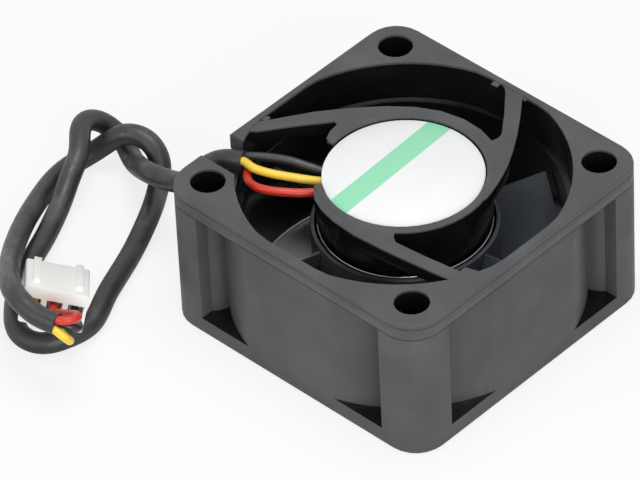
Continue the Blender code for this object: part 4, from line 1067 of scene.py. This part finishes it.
@dataclass
class Impeller:
    """The hub cup and its blades."""

    hub_radius: float = 11.1 * MM
    hub_wall: float = 0.45 * MM
    face_height: float = 0.9 * MM
    face_top: float = 1.7 * MM
    edge_radius: float = 0.6 * MM
    rim_edge: float = 0.18 * MM
    rim_edge_middle: float = 0.05 * MM
    boss_radius: float = 2.6 * MM
    boss_length: float = 1.9 * MM
    bore: float = 1.25 * MM
    bore_floor: float = 1.3 * MM
    blade_count: int = 6
    blade_root: float = 10.83 * MM
    tip_radius: float = 18.35 * MM
    blade_thickness: float = 0.9 * MM
    blade_edge: float = 0.35 * MM
    bulge_power: float = 0.7
    trailing_angle: float = 69.5
    trailing_height: float = 12.25 * MM
    leading_height: float = 1.9 * MM
    wrap: float = 34.0
    camber_wrap: float = 13.0
    camber_height: float = 5.0 * MM
    stations: int = 24
    span_steps: int = 10
    slope_step: float = 0.01

    def cup(self) -> Mesh:
        """The hub, open to the motor side, with its shaft boss."""
        inner = self.hub_radius - self.hub_wall
        boss_end = self.face_top + self.boss_length
        profile = [
            (0.0, self.face_height),
            *quarter_round(self.hub_radius - self.edge_radius, self.face_height + self.edge_radius,
                           self.edge_radius, start=-90),
            (self.hub_radius, HUB_RIM_HEIGHT - self.rim_edge),
            (self.hub_radius - self.rim_edge_middle, HUB_RIM_HEIGHT - self.rim_edge_middle),
            (self.hub_radius - self.rim_edge, HUB_RIM_HEIGHT), (inner, HUB_RIM_HEIGHT),
            (inner, self.face_top), (self.boss_radius, self.face_top),
            (self.boss_radius, boss_end), (self.bore, boss_end), (self.bore, self.bore_floor),
            (0.0, self.bore_floor),
        ]
        return to_mesh(spin_profile(profile), "hub_cup")

    def camber(self, share: float) -> tuple[float, float]:
        """Angle, in radians, and height along a blade, from its trailing edge (0) on to 1."""
        middle = 2 * share * (1 - share)
        angle = -math.radians(middle * self.camber_wrap + share ** 2 * self.wrap)
        height = ((1 - share) ** 2 * self.trailing_height + middle * self.camber_height
                  + share ** 2 * self.leading_height)
        return angle, height

    def surface_point(self, reach: float, share: float, side: float, start: float) -> Vector:
        """A point on a blade's skin.

        Args:
            reach: From the root (0) to the tip (1).
            share: From the trailing edge (0) to the leading edge (1).
            side: Pressure side (-1) or suction side (1).
            start: The angle of the blade's trailing edge, in radians.

        Returns:
            The point, in metres.
        """
        radius = self.blade_root + (self.tip_radius - self.blade_root) * reach
        angle, height = self.camber(share)
        ahead = self.camber(min(1.0, share + self.slope_step))
        behind = self.camber(max(0.0, share - self.slope_step))
        along = Vector(((ahead[0] - behind[0]) * radius, ahead[1] - behind[1])).normalized()
        bulge = math.sin(math.pi * share) ** self.bulge_power if 0.0 < share < 1.0 else 0.0
        half = side * (self.blade_edge + (self.blade_thickness - self.blade_edge) * bulge) / 2
        turn = start + angle - along.y * half / radius
        return Vector((radius * math.cos(turn), radius * math.sin(turn), height + along.x * half))

    def blade(self, start: float) -> Mesh:
        """One blade: a flat slab, bent over the hub."""
        builder = bmesh.new()
        bmesh.ops.create_grid(
            builder, x_segments=self.span_steps, y_segments=self.stations, size=0.5)
        extrude(builder, builder.faces[:], UP)
        for vert in builder.verts:
            x, y, z = vert.co
            vert.co = self.surface_point(x + 0.5, y + 0.5, 2 * z - 1, start)
        return to_mesh(builder, "blade", sharp=60.0)

    def build(self) -> Item:
        """Join the blades to the hub."""
        starts = [math.radians(self.trailing_angle) + math.tau * i / self.blade_count
                  for i in range(self.blade_count)]
        builder = carve("impeller", self.cup(), [("UNION", self.blade(start)) for start in starts])
        return make_piece(builder, "impeller_moulding", BLADE, Body.ROTOR, "impeller",
                          sharp=38.0)


@dataclass
class RotorYoke:
    """The steel cup inside the hub, with a rolled rim."""

    radius: float = 10.4 * MM
    wall: float = 0.6 * MM
    hole: float = 3.0 * MM
    bottom: float = 2.0 * MM
    bottom_edge: float = 0.1 * MM
    rim_round: float = 0.2 * MM
    inner_edge: float = 0.05 * MM

    def build(self) -> Item:
        """Spin the cup from its section."""
        inner, floor = self.radius - self.wall, self.bottom + self.wall
        profile = [
            (self.hole, self.bottom), (self.radius - self.bottom_edge, self.bottom),
            (self.radius, self.bottom + self.bottom_edge),
            *quarter_round(self.radius - self.rim_round, HUB_RIM_HEIGHT - self.rim_round,
                           self.rim_round, start=0),
            (inner + self.inner_edge, HUB_RIM_HEIGHT), (inner, HUB_RIM_HEIGHT - self.inner_edge),
            (inner, floor), (self.hole, floor),
        ]
        return make_piece(
            spin_profile(profile), "yoke_cup", YOKE, Body.ROTOR, "rotor_yoke")


@dataclass
class MotorLabel:
    """The round film on the motor base."""

    radius: float = 9.5 * MM
    bottom: float = 19.45 * MM
    thickness: float = 0.2 * MM
    edge: float = 0.06 * MM
    edge_middle: float = 0.018 * MM

    def build(self) -> Item:
        """A thin disc with a softened edge."""
        top = self.bottom + self.thickness
        profile = [
            (0.0, self.bottom), (self.radius, self.bottom), (self.radius, top - self.edge),
            (self.radius - self.edge_middle, top - self.edge_middle),
            (self.radius - self.edge, top), (0.0, top),
        ]
        return make_piece(spin_profile(profile, steps=128), "label_disc", LABEL, Body.FRAME,
                          "label")


def dress_carried(name: str, finish: Finish) -> None:
    """Put a finish on the material slots of a node that is shown as it is."""
    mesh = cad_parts[name].data
    material = finish.build()
    if not mesh.materials:
        mesh.materials.append(material)
    for slot in range(len(mesh.materials)):
        mesh.materials[slot] = material


@dataclass(frozen=True)
class Lamp:
    """A soft square lamp turned to the fan."""

    name: str
    place: Triple
    size: float
    power: float
    target: Triple = (-5 * MM, -5 * MM, 10 * MM)

    def build(self) -> None:
        """Hang the lamp."""
        data = bpy.data.lights.new(self.name, "AREA")
        data.shape = "SQUARE"
        data.size = self.size
        data.energy = self.power
        lamp = linked(self.name, data)
        lamp.location = self.place
        towards = Vector(self.target) - Vector(self.place)
        lamp.rotation_euler = towards.to_track_quat("-Z", "Y").to_euler()


@dataclass
class Studio:
    """A pale floor with a painted shadow under the duct, soft lamps and a white surround."""

    floor_size: float = 3.0
    floor_height: float = -0.02 * MM
    floor_colours: tuple[Colour, Colour] = ((0.90, 0.90, 0.90), (0.93, 0.93, 0.93))
    floor_drift: float = 14.0
    floor_glow: float = 0.8
    # Painted shadow on the floor under the duct: its radius, its edge and its colour.
    painted_shadow_radius: float = 19.0 * MM
    shade_edge: float = 0.8 * MM
    painted_shadow_colour: Colour = (0.55, 0.55, 0.56)
    ambient: float = 0.31
    lamps: tuple[Lamp, ...] = (
        Lamp("key_lamp", (0.02, 0.02, 0.60), 0.30, 1.75),
        Lamp("fill_lamp", (0.50, -0.28, 0.28), 0.35, 1.7),
        Lamp("front_lamp", (-0.10, -0.50, 0.25), 0.30, 0.6),
    )

    def floor_material(self) -> Material:
        """White to the camera except for the shadows on it. Inside the duct's radius it has a
        painted shadow and does not glow.
        """
        material = bpy.data.materials.new("studio_floor")
        tree = emptied(material)
        vector = tree.place()
        x, y, _ = tree.axes(vector)
        # Open floor outside the painted shadow under the duct.
        open_floor = tree.spread(
            tree.distance(x, y), self.painted_shadow_radius, self.painted_shadow_radius + self.shade_edge)
        pale = tree.mix(tree.noise(vector, self.floor_drift, detail=2.0), *self.floor_colours)
        # Painted shadow colour inside the duct's radius.
        colour = tree.mix(open_floor, self.painted_shadow_colour, pale)
        plain = tree.add("ShaderNodeBsdfDiffuse", Color=colour)
        glow = tree.add("ShaderNodeEmission", Color=opaque(WHITE), Strength=1.0)
        seen = tree.add("ShaderNodeLightPath").outputs["Is Camera Ray"]
        blend = tree.add("ShaderNodeMixShader")
        for socket, item in enumerate((tree.times(seen, open_floor, self.floor_glow),
                                       plain.outputs["BSDF"], glow.outputs["Emission"])):
            tree.put(blend, socket, item)
        tree.add("ShaderNodeOutputMaterial", Surface=blend.outputs["Shader"])
        return material

    def floor(self) -> None:
        """The floor under the fan."""
        builder = bmesh.new()
        bmesh.ops.create_grid(builder, x_segments=1, y_segments=1, size=self.floor_size / 2,
                              matrix=Matrix.Translation((0, 0, self.floor_height)))
        mesh = bpy.data.meshes.new("studio_floor")
        builder.to_mesh(mesh)
        builder.free()
        floor = link_mesh("studio_floor", mesh)
        mesh.materials.append(self.floor_material())

    def world(self) -> None:
        """White to the camera and to gloss, dimmer as a light."""
        world = bpy.data.worlds.new("studio_surround")
        bpy.context.scene.world = world
        tree = emptied(world)
        path = tree.add("ShaderNodeLightPath").outputs
        direct = tree.plus(path["Is Camera Ray"], path["Is Glossy Ray"])
        seen = tree.plus(direct, path["Is Transmission Ray"], clamp=True)
        background = tree.add("ShaderNodeBackground", Color=opaque(WHITE),
                              Strength=tree.spread(seen, 0.0, 1.0, self.ambient, 1.0))
        tree.add("ShaderNodeOutputWorld", Surface=background.outputs["Background"])

    def build(self) -> None:
        """Set the floor, the surround and the lamps."""
        self.floor()
        self.world()
        for lamp in self.lamps:
            lamp.build()
        bpy.context.scene.view_settings.view_transform = "Standard"


def main() -> None:
    """Build the fan's looks around its frame and report each piece."""
    logging.basicConfig(level=logging.INFO, format="%(name)s: %(message)s")
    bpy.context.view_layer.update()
    StudioCamera().build()
    for piece in Lead().build():
        log.info("lead: %s", piece.name)
    for maker in (Housing(), Impeller(), RotorYoke(), MotorLabel()):
        log.info("fan: %s", maker.build().name)
    for name, finish in CARRIED_FINISHES.items():
        dress_carried(name, finish)
        log.info("carried over: %s", name)
    Studio().build()


if __name__ == "__main__":
    main()
